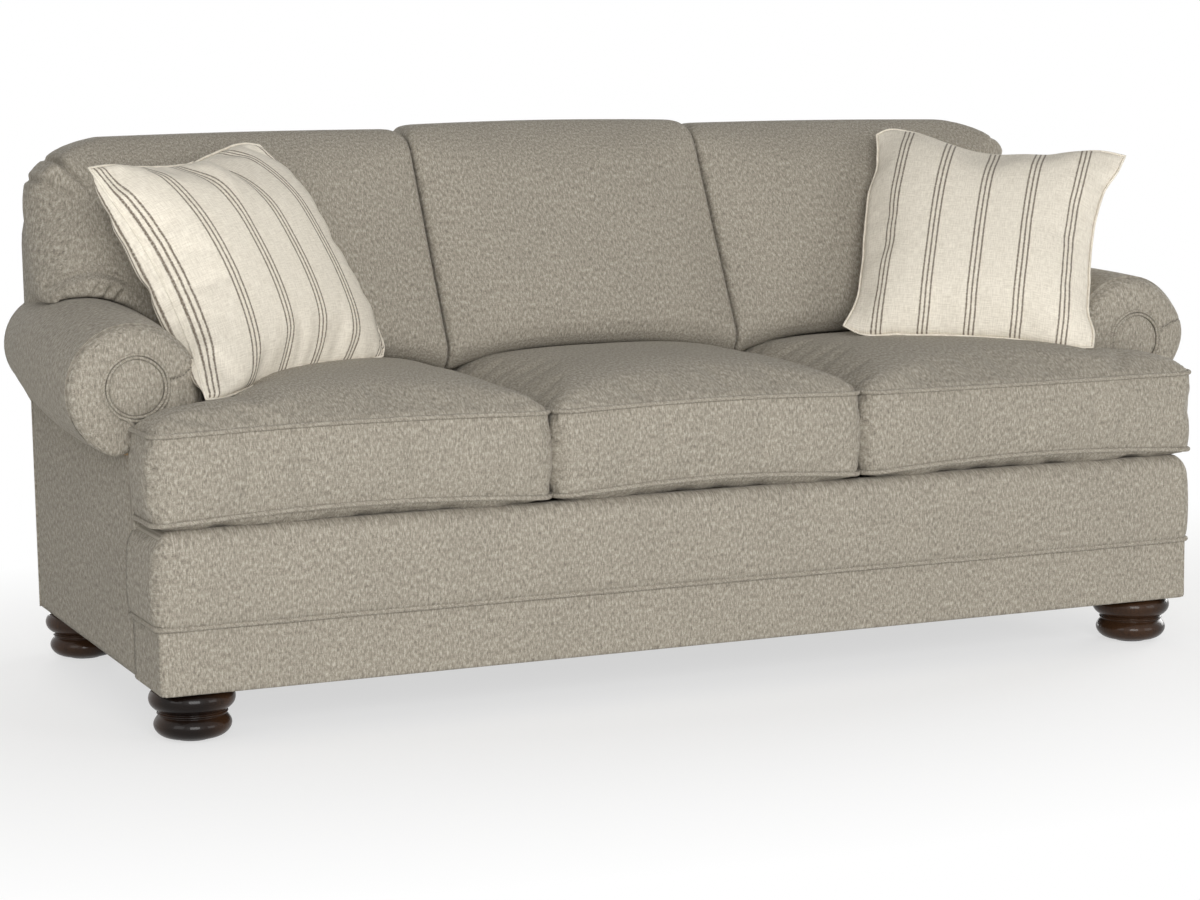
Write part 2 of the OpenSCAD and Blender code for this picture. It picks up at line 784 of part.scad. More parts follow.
// Padded front of an arm: a rounded disc over the roll and a flat part behind the cushion's ear
module arm_face() {
    translate([roll_x, arm_y, roll_z]) rotate([-90, 0, 0]) rotate_extrude($fn = 96) {
        square([roll_r - face_round, face_round]);
        intersection() {
            translate([roll_r - face_round, face_round]) circle(face_round, $fn = 96);
            square([roll_r, face_round]);
        }
    }
    block([arm_x, arm_y, arm_foot], [side_x - 2, board_y, roll_z - 60]);
    block([arm_x, arm_y, arm_foot + 14], [half_w, return_y, roll_z - roll_r + 3]);
}

module arm_face_left() {
    color(fabric) mirror([1, 0, 0]) arm_face();
}

module arm_face_right() {
    color(fabric) arm_face();
}

// Domed round panel
module arm_button() {
    rise = 8;
    ball = (button_r * button_r + rise * rise) / (2 * rise);
    translate([roll_x, arm_y, roll_z]) rotate([90, 0, 0]) rotate_extrude($fn = 96) intersection() {
        translate([0, rise - ball]) circle(ball, $fn = 720);
        square([button_r + 1, rise + 1]);
    }
}

module arm_button_left() {
    color(fabric) mirror([1, 0, 0]) arm_button();
}

module arm_button_right() {
    color(fabric) arm_button();
}

module arm_welts() {
    cord = 3;
    color(fabric) both_sides() translate([roll_x, arm_y - cord, roll_z]) rotate([90, 0, 0])
        for (r = [button_r + cord, button_r + 3 * cord])
            rotate_extrude($fn = 72) translate([r + 0.1, 0]) circle(cord, $fn = 24);
}

// Cushions

module back_cushion_left() {
    color(fabric) mirror([1, 0, 0]) back_side_form();
}

module back_cushion_centre() {
    color(fabric) difference() {
        back_form([for (d = back_insets) centre_back_outline(d)], [0, 770], -seam_w / 2, seam_w / 2,
                  centre_top);
        centre_back_core(0.5);
    }
}

module back_cushion_right() {
    color(fabric) back_side_form();
}

module back_fill_left() {
    color(foam) mirror([1, 0, 0]) side_back_core(0);
}

module back_fill_centre() {
    color(foam) centre_back_core(0);
}

module back_fill_right() {
    color(foam) side_back_core(0);
}

module seat_cushion_left() {
    color(fabric) mirror([1, 0, 0]) seat_side_form();
}

module seat_cushion_centre() {
    color(fabric) seat_centre_form();
}

module seat_cushion_right() {
    color(fabric) seat_side_form();
}

module seat_core_left() {
    color(foam) mirror([1, 0, 0]) seat_slab(0);
}

module seat_core_centre() {
    color(foam) centre_slab(0);
}

module seat_core_right() {
    color(foam) seat_slab(0);
}

module side_welt() {
    welt_rings(seat_outline(-0.8), seat_outline(-welt));
}

module seat_welt_left() {
    color(fabric) mirror([1, 0, 0]) side_welt();
}

module seat_welt_centre() {
    color(fabric) welt_rings(centre_outline(-0.8), centre_outline(-welt));
}

module seat_welt_right() {
    color(fabric) side_welt();
}

module pillow_left() {
    color(linen) place_left_pillow() pillow_form();
}

module pillow_right() {
    color(linen) place_right_pillow() pillow_form();
}

module pillow_insert_left() {
    color(foam) place_left_pillow() pillow_core(0);
}

module pillow_insert_right() {
    color(foam) place_right_pillow() pillow_core(0);
}

// Feet

glide_h = 3;
waist_z = 46;

// Half profile of a bun from its lower to its upper edge, as radius, height
function bun(low, high, wide, narrow_low, narrow_high) =
    let (mid = (low + high) / 2, half = (high - low) / 2)
    [for (a = [-90 : 15 : 90])
        [mix(a < 0 ? narrow_low : narrow_high, wide, cos(a)), mid + half * sin(a)]];

module foot(side, end) {
    translate([side * (half_w - foot_in_x), end * (back_y - foot_in_y), 0]) color(walnut) difference() {
        rotate_extrude($fn = 72) polygon(concat(
            [[0, glide_h]],
            bun(glide_h, waist_z - 4, foot_r - 7, 44, 54),
            [[57, waist_z - 4], [57, waist_z], [54, waist_z + 1]],
            bun(waist_z + 1, foot_h, foot_r, 54, 55),
            [[55, foot_h + 2], [0, foot_h + 2]]));
        translate([0, 0, 40]) cylinder(r = 4.1, h = foot_h);
    }
}

module foot_front_left() { foot(-1, -1); }
module foot_front_right() { foot(1, -1); }
module foot_back_left() { foot(-1, 1); }
module foot_back_right() { foot(1, 1); }

module at_feet() {
    for (x = [-1, 1]) for (y = [-1, 1])
        translate([x * (half_w - foot_in_x), y * (back_y - foot_in_y), 0]) children();
}

module hanger_bolts() {
    color(steel) at_feet() translate([0, 0, 42]) cylinder(r = 4, h = rail_bottom + block_h - 42 + 6);
}

module tee_nuts() {
    top = rail_bottom + block_h;
    color(steel) at_feet() difference() {
        union() {
            translate([0, 0, top]) cylinder(r = 11, h = 1.6);
            translate([0, 0, top - 14]) cylinder(r = 5.3, h = 15);
        }
        translate([0, 0, top - 20]) cylinder(r = 4.1, h = 40);
    }
}

module foot_glides() {
    color([0.15, 0.15, 0.15]) at_feet() cylinder(r = 30, h = glide_h);
}

front_rail();
back_rail();
side_rails();
seat_stretchers();
corner_blocks();
arm_boards();
arm_rails();
back_uprights();
back_rails();
frame_screws();
seat_springs();
back_springs();
spring_clips();
spring_ties();
spring_insulator();
deck_pad();
deck_cloth();
inside_back();
front_panel();
border_band();
band_welt();
arm_pads();
arm_cover_left();
arm_cover_right();
arm_face_left();
arm_face_right();
arm_button_left();
arm_button_right();
arm_welts();
outside_arm_left();
outside_arm_right();
outside_back();
dust_cover();
back_cushion_left();
back_cushion_centre();
back_cushion_right();
back_fill_left();
back_fill_centre();
back_fill_right();
seat_cushion_left();
seat_cushion_centre();
seat_cushion_right();
seat_core_left();
seat_core_centre();
seat_core_right();
seat_welt_left();
seat_welt_centre();
seat_welt_right();
pillow_left();
pillow_right();
pillow_insert_left();
pillow_insert_right();
foot_front_left();
foot_front_right();
foot_back_left();
foot_back_right();
hanger_bolts();
tee_nuts();
foot_glides();
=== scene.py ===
import math

import bpy
import numpy as np
from mathutils import Matrix, Vector
from mathutils.bvhtree import BVHTree
from mathutils.kdtree import KDTree


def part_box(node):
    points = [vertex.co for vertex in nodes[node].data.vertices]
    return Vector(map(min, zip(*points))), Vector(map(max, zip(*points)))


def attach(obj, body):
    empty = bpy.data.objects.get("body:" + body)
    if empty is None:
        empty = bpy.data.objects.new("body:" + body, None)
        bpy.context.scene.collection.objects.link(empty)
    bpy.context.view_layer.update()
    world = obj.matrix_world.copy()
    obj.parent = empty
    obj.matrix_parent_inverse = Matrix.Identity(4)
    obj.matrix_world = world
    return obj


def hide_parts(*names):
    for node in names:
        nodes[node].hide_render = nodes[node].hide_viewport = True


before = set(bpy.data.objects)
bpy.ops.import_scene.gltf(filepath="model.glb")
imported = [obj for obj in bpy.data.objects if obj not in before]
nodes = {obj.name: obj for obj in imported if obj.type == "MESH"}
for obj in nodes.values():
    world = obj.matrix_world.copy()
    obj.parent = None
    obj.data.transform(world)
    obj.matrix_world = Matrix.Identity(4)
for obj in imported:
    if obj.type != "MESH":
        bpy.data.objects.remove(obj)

scene = bpy.context.scene
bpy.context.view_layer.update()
print("frame:", len(nodes), "nodes")


# camera, fitted to the photograph

cameraSettings = {
    "place": (-2.1309, -4.9025, 1.0727),
    "yaw": 23.3531,      # from +Y towards +X
    "pitch": 7.4367,     # downwards
    "roll": -0.7532,
    "lens": 86.41,
}


def makeCamera(s):
    yaw, pitch, roll = (math.radians(s[k]) for k in ("yaw", "pitch", "roll"))
    ahead = Vector((math.sin(yaw) * math.cos(pitch), math.cos(yaw) * math.cos(pitch), -math.sin(pitch)))
    right = Vector((math.cos(yaw), -math.sin(yaw), 0))
    up = right.cross(ahead)
    even, tilt = math.cos(roll), math.sin(roll)
    right, up = even * right + tilt * up, -tilt * right + even * up
    data = bpy.data.cameras.new("camera")
    data.lens = s["lens"]
    data.sensor_width = 36
    camera = bpy.data.objects.new("camera", data)
    camera.matrix_world = Matrix((
        (right.x, up.x, -ahead.x, s["place"][0]),
        (right.y, up.y, -ahead.y, s["place"][1]),
        (right.z, up.z, -ahead.z, s["place"][2]),
        (0, 0, 0, 1)))
    scene.collection.objects.link(camera)
    scene.camera = camera


makeCamera(cameraSettings)


# node helpers for materials

class Nodes:
    def __init__(self, name, group="materials", base="Principled BSDF"):
        self.owner = getattr(bpy.data, group).new(name)
        self.owner.use_nodes = True
        self.tree = self.owner.node_tree
        self.shader = self.tree.nodes[base]

    def add(self, kind, **values):
        node = self.tree.nodes.new(kind)
        for key, value in values.items():
            setattr(node, key, value)
        return node

    def set(self, node, values):
        for key, value in values.items():
            node.inputs[key].default_value = value

    def link(self, a, b):
        self.tree.links.new(a, b)

    def put(self, socket, value):
        if hasattr(value, "is_output"):
            self.link(value, socket)
        else:
            socket.default_value = value

    def math(self, operation, *values):
        node = self.add("ShaderNodeMath", operation=operation)
        for socket, value in zip(node.inputs, values):
            self.put(socket, value)
        return node.outputs[0]

    def plus(self, a, b):
        return self.math("ADD", a, b)

    def times(self, a, b):
        return self.math("MULTIPLY", a, b)

    def mix(self, factor, a, b):
        node = self.add("ShaderNodeMix", data_type="RGBA")
        for i, value in ((0, factor), (6, a), (7, b)):
            self.put(node.inputs[i], (*value, 1) if isinstance(value, tuple) else value)
        return node.outputs[2]

    def ramp(self, value, low, high, first=0.0, last=1.0):
        node = self.add("ShaderNodeMapRange", clamp=True)
        for socket, part in zip(node.inputs, (value, low, high, first, last)):
            self.put(socket, part)
        return node.outputs[0]

    def stretched(self, vector, scale):
        node = self.add("ShaderNodeMapping")
        node.inputs["Scale"].default_value = scale
        self.link(vector, node.inputs["Vector"])
        return node.outputs[0]

    def noise(self, vector, scale, detail=2.0, rough=0.5):
        # scale: cells in a metre along each axis
        node = self.add("ShaderNodeTexNoise")
        self.set(node, {"Scale": 1.0, "Detail": detail, "Roughness": rough})
        self.link(self.stretched(vector, scale), node.inputs["Vector"])
        return node.outputs["Fac"]

    def object(self):
        return self.add("ShaderNodeTexCoord").outputs["Object"]

    def cloth(self):
        return self.add("ShaderNodeUVMap", uv_map="clothMap").outputs[0]

    def split(self, vector):
        node = self.add("ShaderNodeSeparateXYZ")
        self.link(vector, node.inputs[0])
        return node.outputs

    def weave(self, split, yarn):
        # plain weave, alternating squares
        return self.times(*(self.math("SINE", self.times(split[i], yarn * math.pi)) for i in (0, 1)))

    def finish(self, colour, height, distance, strength, values):
        bump = self.add("ShaderNodeBump")
        self.set(bump, {"Strength": strength, "Distance": distance})
        self.link(height, bump.inputs["Height"])
        self.link(bump.outputs[0], self.shader.inputs["Normal"])
        self.link(colour, self.shader.inputs["Base Color"])
        self.set(self.shader, values)
        return self.owner

    def seen(self):
        # 1 on rays that show what they hit: from the camera, off gloss, through glass
        path = self.add("ShaderNodeLightPath").outputs
        indirect = self.math("MAXIMUM", path["Is Glossy Ray"], path["Is Transmission Ray"])
        return self.math("MAXIMUM", path["Is Camera Ray"], indirect)

    def whiten(self, share, white, output):
        node = self.add("ShaderNodeMixShader")
        for socket, value in zip(node.inputs, (share, self.shader.outputs[0], white.outputs[0])):
            self.link(value, socket)
        self.link(node.outputs[0], self.tree.nodes[output].inputs["Surface"])


# upholstery cloth

tweedSettings = {
    "yarn": 0.0017,            # width of one yarn
    "slub": 0.008,             # length of a thick place in a yarn
    "dark": (0.195, 0.172, 0.140),
    "middle": (0.335, 0.303, 0.247),
    "light": (0.525, 0.486, 0.414),
    "height": 0.0006,
    "shade": 0.07,             # slow change of shade over the cloth
    "finish": {"Roughness": 0.92, "Specular IOR Level": 0.25, "Sheen Weight": 0.12,
               "Sheen Roughness": 0.45, "Sheen Tint": (0.95, 0.92, 0.86, 1)},
}


def makeTweed(name, s):
    n = Nodes(name)
    uv = n.cloth()
    yarn, slub = 1 / s["yarn"], 1 / s["slub"]
    over = n.weave(n.split(uv), yarn)
    warp, weft = (n.ramp(n.noise(uv, scale, 2.0, 0.65), 0.34, 0.66)
                  for scale in ((yarn * 0.8, slub, 1), (slub, yarn * 0.8, 1)))
    mixed = n.add("ShaderNodeMix", data_type="FLOAT")
    for i, value in ((0, n.ramp(over, -0.1, 1.1)), (2, warp), (3, weft)):
        n.link(value, mixed.inputs[i])
    clump = n.ramp(n.noise(uv, (yarn * 0.34, yarn * 0.18, 1), 3.0, 0.6), 0.32, 0.68)
    tone = n.plus(n.times(mixed.outputs[0], 0.58), n.times(clump, 0.42))
    low = n.mix(n.ramp(tone, 0.10, 0.50), s["dark"], s["middle"])
    colour = n.mix(n.ramp(tone, 0.50, 0.90), low, s["light"])
    slow = n.ramp(n.noise(uv, (9, 5, 1), 3.0, 0.6), 0.3, 0.7)
    scaled = n.add("ShaderNodeVectorMath", operation="SCALE")
    n.link(colour, scaled.inputs[0])
    n.link(n.plus(n.times(slow, s["shade"]), 1 - s["shade"] / 2), scaled.inputs["Scale"])
    height = n.plus(n.times(n.math("ABSOLUTE", over), 0.6), n.times(tone, 0.7))
    return n.finish(scaled.outputs[0], height, s["height"], 0.9, s["finish"])


tweed = makeTweed("greyTaupeTweed", tweedSettings)

linenSettings = {
    "ground": (0.885, 0.828, 0.716),
    "shadow": (0.700, 0.642, 0.540),
    "stripe": (0.180, 0.145, 0.110),
    "groupPitch": 0.0860,      # from one group of stripes to the next
    "linePitch": 0.0086,       # from one line of a group to the next
    "lineHalf": 0.00170,
    "yarn": 0.0011,
    "height": 0.00035,
    "finish": {"Roughness": 0.88, "Specular IOR Level": 0.25, "Sheen Weight": 0.08, "Sheen Roughness": 0.5},
}


def makeLinen(name, s):
    n = Nodes(name)
    uv = n.cloth()
    split = n.split(uv)
    yarn, pitch = 1 / s["yarn"], s["groupPitch"]
    fray = n.times(n.math("SUBTRACT", n.noise(uv, (300, 260, 1)), 0.5), 0.0022)
    place = n.plus(n.plus(split[0], fray), pitch * 50.5)
    inGroup = n.math("SUBTRACT", n.math("MODULO", place, pitch), pitch / 2)
    away = [n.math("ABSOLUTE", n.math("SUBTRACT", inGroup, k * s["linePitch"])) for k in (-1, 0, 1)]
    nearest = n.math("MINIMUM", n.math("MINIMUM", away[0], away[1]), away[2])
    line = n.ramp(nearest, s["lineHalf"] * 0.6, s["lineHalf"] * 1.3, 1.0, 0.0)
    slub = n.noise(uv, (yarn * 0.7, yarn * 0.06, 1), 2.0, 0.6)
    cross = n.noise(uv, (yarn * 0.06, yarn * 0.7, 1), 2.0, 0.6)
    thread = n.times(n.plus(slub, cross), 0.5)
    ground = n.mix(n.ramp(thread, 0.40, 0.60), s["shadow"], s["ground"])
    broken = n.ramp(n.noise(uv, (yarn * 0.5, yarn * 0.30, 1), 1.0), 0.30, 0.52)
    colour = n.mix(n.times(line, n.plus(n.times(broken, 0.4), 0.6)), ground, s["stripe"])
    weave = n.math("ABSOLUTE", n.weave(split, yarn))
    return n.finish(colour, n.plus(n.times(weave, 0.5), thread), s["height"], 0.8, s["finish"])


linen = makeLinen("stripedLinen", linenSettings)

walnutSettings = {
    "dark": (0.006, 0.003, 0.002),
    "light": (0.048, 0.022, 0.010),
    "grain": 60,
    "finish": {"Roughness": 0.36, "Coat Weight": 0.25, "Coat Roughness": 0.06, "Specular IOR Level": 0.10},
}
hardwoodSettings = {
    "dark": (0.36, 0.22, 0.11),
    "light": (0.60, 0.43, 0.26),
    "grain": 40,
    "finish": {"Roughness": 0.6},
}


def makeWood(name, s):
    n = Nodes(name)
    at, grain = n.object(), s["grain"]
    wave = n.add("ShaderNodeTexWave", wave_type="BANDS", bands_direction="DIAGONAL")
    n.set(wave, {"Scale": grain * 0.06, "Distortion": 6.0, "Detail": 2.0})
    n.link(n.stretched(at, (1, 1, 0.12)), wave.inputs["Vector"])
    pores = n.ramp(n.noise(at, (grain * 6, grain * 6, grain * 0.4), 3.0, 0.6), 0.45, 0.7)
    tone = n.plus(n.times(wave.outputs["Fac"], 0.5), n.times(n.noise(at, (9, 9, 2)), 0.5))
    colour = n.mix(n.ramp(tone, 0.25, 0.8), s["dark"], s["light"])
    return n.finish(n.mix(n.times(pores, 0.45), colour, s["dark"]), pores, 0.00015, 0.4, s["finish"])


walnut = makeWood("darkWalnut", walnutSettings)
hardwood = makeWood("planedHardwood", hardwoodSettings)


def makePlainCloth(name, dark, light, pitch):
    n = Nodes(name)
    at, fine, coarse = n.object(), 1 / pitch, 0.12 / pitch
    tone = n.times(n.plus(n.noise(at, (fine, coarse, coarse)), n.noise(at, (coarse, fine, fine))), 0.5)
    return n.finish(n.mix(n.ramp(tone, 0.38, 0.62), dark, light), tone, 0.0004, 0.7, {"Roughness": 0.95})


def makeMoulded(name, dark, light, grain):
    n = Nodes(name)
    cells = n.noise(n.object(), (grain, grain, grain), 3.0, 0.7)
    return n.finish(n.mix(n.ramp(cells, 0.35, 0.65), dark, light), cells, 0.0002, 0.6, {"Roughness": 0.45})


def makeMetal(name, colour, rough):
    n = Nodes(name)
    streaks = n.noise(n.object(), (900, 90, 900))
    shade = tuple(c * 0.8 for c in colour)
    return n.finish(n.mix(n.ramp(streaks, 0.3, 0.7), shade, colour), streaks, 0.00005, 0.5,
                    {"Metallic": 1.0, "Roughness": rough})


decking = makePlainCloth("deckingCloth", (0.055, 0.048, 0.040), (0.115, 0.102, 0.086), 0.0012)
burlap = makePlainCloth("burlap", (0.20, 0.14, 0.07), (0.42, 0.31, 0.18), 0.0022)
cambric = makePlainCloth("blackCambric", (0.006, 0.006, 0.006), (0.018, 0.018, 0.018), 0.0008)
springSteel = makeMetal("springSteel", (0.30, 0.30, 0.31), 0.38)
zincSteel = makeMetal("zincSteel", (0.62, 0.63, 0.65), 0.3)
nylon = makeMoulded("glideNylon", (0.012, 0.012, 0.012), (0.020, 0.020, 0.020), 900)

for names, material in (
        (("front_rail", "back_rail", "side_rails", "seat_stretchers", "corner_blocks", "arm_boards",
          "arm_rails", "back_uprights", "back_rails"), hardwood),
        (("frame_screws", "hanger_bolts", "tee_nuts"), zincSteel),
        (("seat_springs", "back_springs", "spring_clips", "spring_ties"), springSteel),
        (("spring_insulator",), burlap),
        (("dust_cover",), cambric),
        (("foot_glides",), nylon)):
    for name in names:
        data = nodes[name].data
        data.materials.clear()
        data.materials.append(material)
print("materials:", len(bpy.data.materials))


# mesh helpers

def makePiece(name, points, faces, material):
    mesh = bpy.data.meshes.new(name)
    mesh.from_pydata([tuple(p) for p in points], [], [tuple(f) for f in faces])
    mesh.materials.append(material)
    piece = bpy.data.objects.new(name, mesh)
    scene.collection.objects.link(piece)
    mesh.polygons.foreach_set("use_smooth", [True] * len(mesh.polygons))
    mesh.update()
    return piece


def read(items, key, width=3, kind=float):
    values = np.zeros(len(items) * width, kind)
    items.foreach_get(key, values)
    return values.reshape(-1, width) if width > 1 else values


def coords(mesh):
    return read(mesh.vertices, "co")


def setCoords(mesh, co):
    mesh.vertices.foreach_set("co", np.asarray(co, np.float64).ravel())
    mesh.update()


def setCloth(mesh, uv):
    layer = mesh.uv_layers.get("clothMap") or mesh.uv_layers.new(name="clothMap")
    layer.data.foreach_set("uv", np.asarray(uv, np.float32).ravel())


def enter(piece, body, slot, *cad, fill=None):
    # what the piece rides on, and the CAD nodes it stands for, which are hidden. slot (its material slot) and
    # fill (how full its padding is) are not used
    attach(piece, body)
    if cad:
        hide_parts(*cad)


def smoothStep(value, low, high):
    t = np.clip((value - low) / (high - low), 0, 1)
    return t * t * (3 - 2 * t)


def mapCloth(piece, rule):
    # rule(points, normals, centres) gives the cloth coordinates in metres, a row for each face corner
    mesh = piece.data
    corner = read(mesh.loops, "vertex_index", 1, np.int64)
    total = read(mesh.polygons, "loop_total", 1, np.int64)
    face = np.repeat(np.arange(len(total)), total)
    normal, centre = (read(mesh.polygons, key)[face] for key in ("normal", "center"))
    setCloth(mesh, rule(coords(mesh)[corner], normal, centre))


def sideways(points):
    # cloth that runs round an end: its turn is shortened, and it lies elsewhere on the bolt
    return np.column_stack((points[:, 1] * 0.45 + 3.1, points[:, 2]))


def bolt(points, normals, centres, height=None):
    # cloth laid as it comes off the bolt: across X and up Z, or up the given height
    side = np.abs(normals[:, 0]) > np.hypot(normals[:, 1], normals[:, 2]) * 1.1
    flat = np.column_stack((points[:, 0], points[:, 2] if height is None else height))
    return np.where(side[:, None], sideways(points), flat)


def level(points, normals, centres):
    # like bolt, with the top's cloth running back along Y
    up = np.abs(normals[:, 2]) > 0.55
    side = np.abs(normals[:, 0]) > np.abs(normals[:, 1])
    top = np.column_stack((points[:, 0], points[:, 1] + 5.3))
    return np.where(up[:, None], top, np.where(side[:, None], sideways(points), points[:, [0, 2]]))


def loft(rings, first, last=None):
    # skin over closed rings of points, closed by a point at the first ring and, if given, one at the last
    count = len(rings[0])
    points = [p for ring in rings for p in ring] + [first]
    faces = []
    for j in range(len(rings) - 1):
        for i in range(count):
            a, b = j * count + i, j * count + (i + 1) % count
            faces.append((a, b, b + count, a + count))
    faces += [((i + 1) % count, i, len(points) - 1) for i in range(count)]
    if last is not None:
        points.append(last)
        base = (len(rings) - 1) * count
        faces += [(base + i, base + (i + 1) % count, len(points) - 1) for i in range(count)]
    return np.array(points), faces


mirror = np.array([-1.0, 1.0, 1.0])


def loftSide(name, side, rings, ends, inward):
    # drawn for the right and mirrored for the left. inward: the rings run so that the faces look in
    points, faces = loft(rings, *ends)
    if side == "left":
        points = points * mirror
    if (side == "left") != inward:
        faces = [f[::-1] for f in faces]
    return makePiece(name + side.capitalize(), points, faces, tweed)


def stand(p, y):
    # X, Z points set at Y
    return np.column_stack((p[:, 0], np.broadcast_to(y, len(p)), p[:, 1]))


def faceAlong(piece, face, way):
    if np.dot(piece.data.polygons[face].normal, way) < 0:
        piece.data.flip_normals()


def runAlong(path):
    return np.concatenate(([0], np.cumsum(np.linalg.norm(np.diff(path, axis=0), axis=1))))


def tube(path, radius, sides, axis, closed=True):
    # round cord along a path, with the plane's axis to hold its section upright
    path = np.asarray(path, float)
    if closed:
        ahead = np.roll(path, -1, 0) - np.roll(path, 1, 0)
    else:
        ahead = np.gradient(path, axis=0)
    ahead /= np.linalg.norm(ahead, axis=1)[:, None]
    upward = np.asarray(axis, float) - ahead * (ahead @ np.asarray(axis, float))[:, None]
    upward /= np.linalg.norm(upward, axis=1)[:, None]
    outward = np.cross(ahead, upward)
    turn = np.linspace(0, 2 * math.pi, sides, endpoint=False)
    ring = (outward[:, None, :] * np.cos(turn)[None, :, None]
            + upward[:, None, :] * np.sin(turn)[None, :, None])
    points = (path[:, None, :] + ring * radius).reshape(-1, 3)
    run = runAlong(path)
    n = len(path)
    faces, uv = [], []
    for i in range(n if closed else n - 1):
        j = (i + 1) % n
        ends = (run[i], run[i + 1] if i + 1 < n else run[i] + np.linalg.norm(path[0] - path[i]))
        for k in range(sides):
            m = (k + 1) % sides
            faces.append((i * sides + k, j * sides + k, j * sides + m, i * sides + m))
            c, d = k / sides * 2 * math.pi * radius, (k + 1) / sides * 2 * math.pi * radius
            uv += [(ends[0], c), (ends[1], c), (ends[1], d), (ends[0], d)]
    if not closed:
        for i, order in ((0, 1), (n - 1, -1)):
            points = np.vstack((points, path[i]))
            for k in range(sides):
                m = (k + 1) % sides
                faces.append((i * sides + k, i * sides + m, len(points) - 1)[::order])
                uv += [(run[i], 0.0)] * 3
    return points, faces, np.array(uv)


def makeTube(name, path, radius, material, axis=(0, 0, 1), sides=10, closed=True):
    points, faces, uv = tube(path, radius, sides, axis, closed)
    piece = makePiece(name, points, faces, material)
    bias = 0.6      # slant of the cloth, which is cut across its threads
    setCloth(piece.data, np.column_stack((uv[:, 0] + bias * uv[:, 1], uv[:, 1] - bias * uv[:, 0])))
    return piece


def joinPieces(name, pieces):
    keep = pieces[0]
    with bpy.context.temp_override(active_object=keep, selected_editable_objects=pieces):
        bpy.ops.object.join()
    keep.name = name
    keep.data.name = name
    return keep


def arc(centre, radius, start, end, steps):
    turn = np.radians(np.linspace(start, end, steps + 1))
    return [(centre[0] + radius * math.cos(t), centre[1] + radius * math.sin(t)) for t in turn]


def drawn(a, b, count, pull=0.0):
    # points strictly between a and b, drawn in to the left of the way
    a, b = np.array(a, float), np.array(b, float)
    way = (b - a) / np.linalg.norm(b - a)
    left = np.array([-way[1], way[0]])
    t = np.arange(1, count + 1) / (count + 1)
    return [tuple(a + (b - a) * k + left * pull * math.sin(math.pi * k)) for k in t]


gathers = ((0.019, 1.0), (0.031, 0.8), (0.053, 0.6))     # length and size of the waves


def ripple(run, length, seed, waves):
    # irregular gathers along a seam of that length
    rng = np.random.default_rng(seed)
    total = np.zeros_like(run)
    for wave, size in waves:
        count = max(1, round(length / wave))
        slow = 0.6 + 0.4 * np.sin(2 * math.pi * run / length * rng.integers(2, 6) + rng.uniform(0, 6.3))
        total += size * slow * np.sin(2 * math.pi * run / length * count + rng.uniform(0, 6.3))
    return total / sum(size for _, size in waves)


def treeOf(points):
    tree = KDTree(len(points))
    for i, p in enumerate(points):
        tree.insert(p, i)
    tree.balance()
    return tree


def fromSeams(co, seams):
    tree = treeOf([p for seam in seams for p in seam])
    return np.array([tree.find(p)[2] for p in co])


def gather(mesh, co, seam, seed, depth, reach, corners, waves=gathers):
    # puckers that run out from a closed seam, deeper at its corners
    tree = treeOf(seam)
    run = runAlong(seam)
    length = run[-1] + np.linalg.norm(seam[0] - seam[-1])
    found = [tree.find(p) for p in co]
    index = np.array([f[1] for f in found])
    away = np.array([f[2] for f in found])
    size = depth * np.exp(-(away / reach) ** 1.3) * np.clip(away / 0.006, 0.15, 1)
    for corner in corners:
        near = np.linalg.norm(co - np.asarray(corner), axis=1)
        size = size * (1 + 1.8 * np.exp(-(near / 0.07) ** 2))
    return co + read(mesh.vertices, "normal") * (size * ripple(run[index], length, seed, waves))[:, None]


def densify(path, step):
    # closed path with points no further apart than step
    path = np.asarray(path, float)
    out = []
    for a, b in zip(path, np.roll(path, -1, 0)):
        count = max(1, int(math.ceil(np.linalg.norm(b - a) / step)))
        out += [a + (b - a) * k / count for k in range(count)]
    return np.array(out)


# cloth simulation of the padded pieces

puffSettings = {
    "voxel": 0.009,
    "backVoxel": 0.0075,
    "pressure": 3.0,
    "frames": 20,
    "slack": -0.02,        # the cover is cut a little larger than the pad
    "stiffness": 18.0,
    "bending": 2.0,
    "shear": 6.0,
    "mass": 0.25,
    "quality": 4,
}


def remesh(piece, size):
    # even cells over the form, brought back onto it
    mesh = piece.data
    form = BVHTree.FromPolygons([v.co.copy() for v in mesh.vertices],
                                [tuple(f.vertices) for f in mesh.polygons])
    modifier = piece.modifiers.new("remesh", "REMESH")
    modifier.mode = "VOXEL"
    modifier.voxel_size = size
    modifier.use_smooth_shade = True
    bake(piece)
    setCoords(piece.data, [form.find_nearest(p)[0] for p in coords(piece.data)])


def bake(piece):
    graph = bpy.context.evaluated_depsgraph_get()
    mesh = bpy.data.meshes.new_from_object(piece.evaluated_get(graph), depsgraph=graph)
    old = piece.data
    piece.modifiers.clear()
    piece.data = mesh
    mesh.name = piece.name
    bpy.data.meshes.remove(old)


def calm(mesh, step, rounds):
    # evens the movement out over neighbouring points
    a, b = read(mesh.edges, "vertices", 2, np.int64).T
    count = np.bincount(np.concatenate((a, b)), minlength=len(step))
    for _ in range(rounds):
        total = np.stack([np.bincount(a, step[b, k], len(step)) + np.bincount(b, step[a, k], len(step))
                          for k in range(3)], 1)
        step = 0.4 * step + 0.6 * total / np.maximum(count, 1)[:, None]
    return step


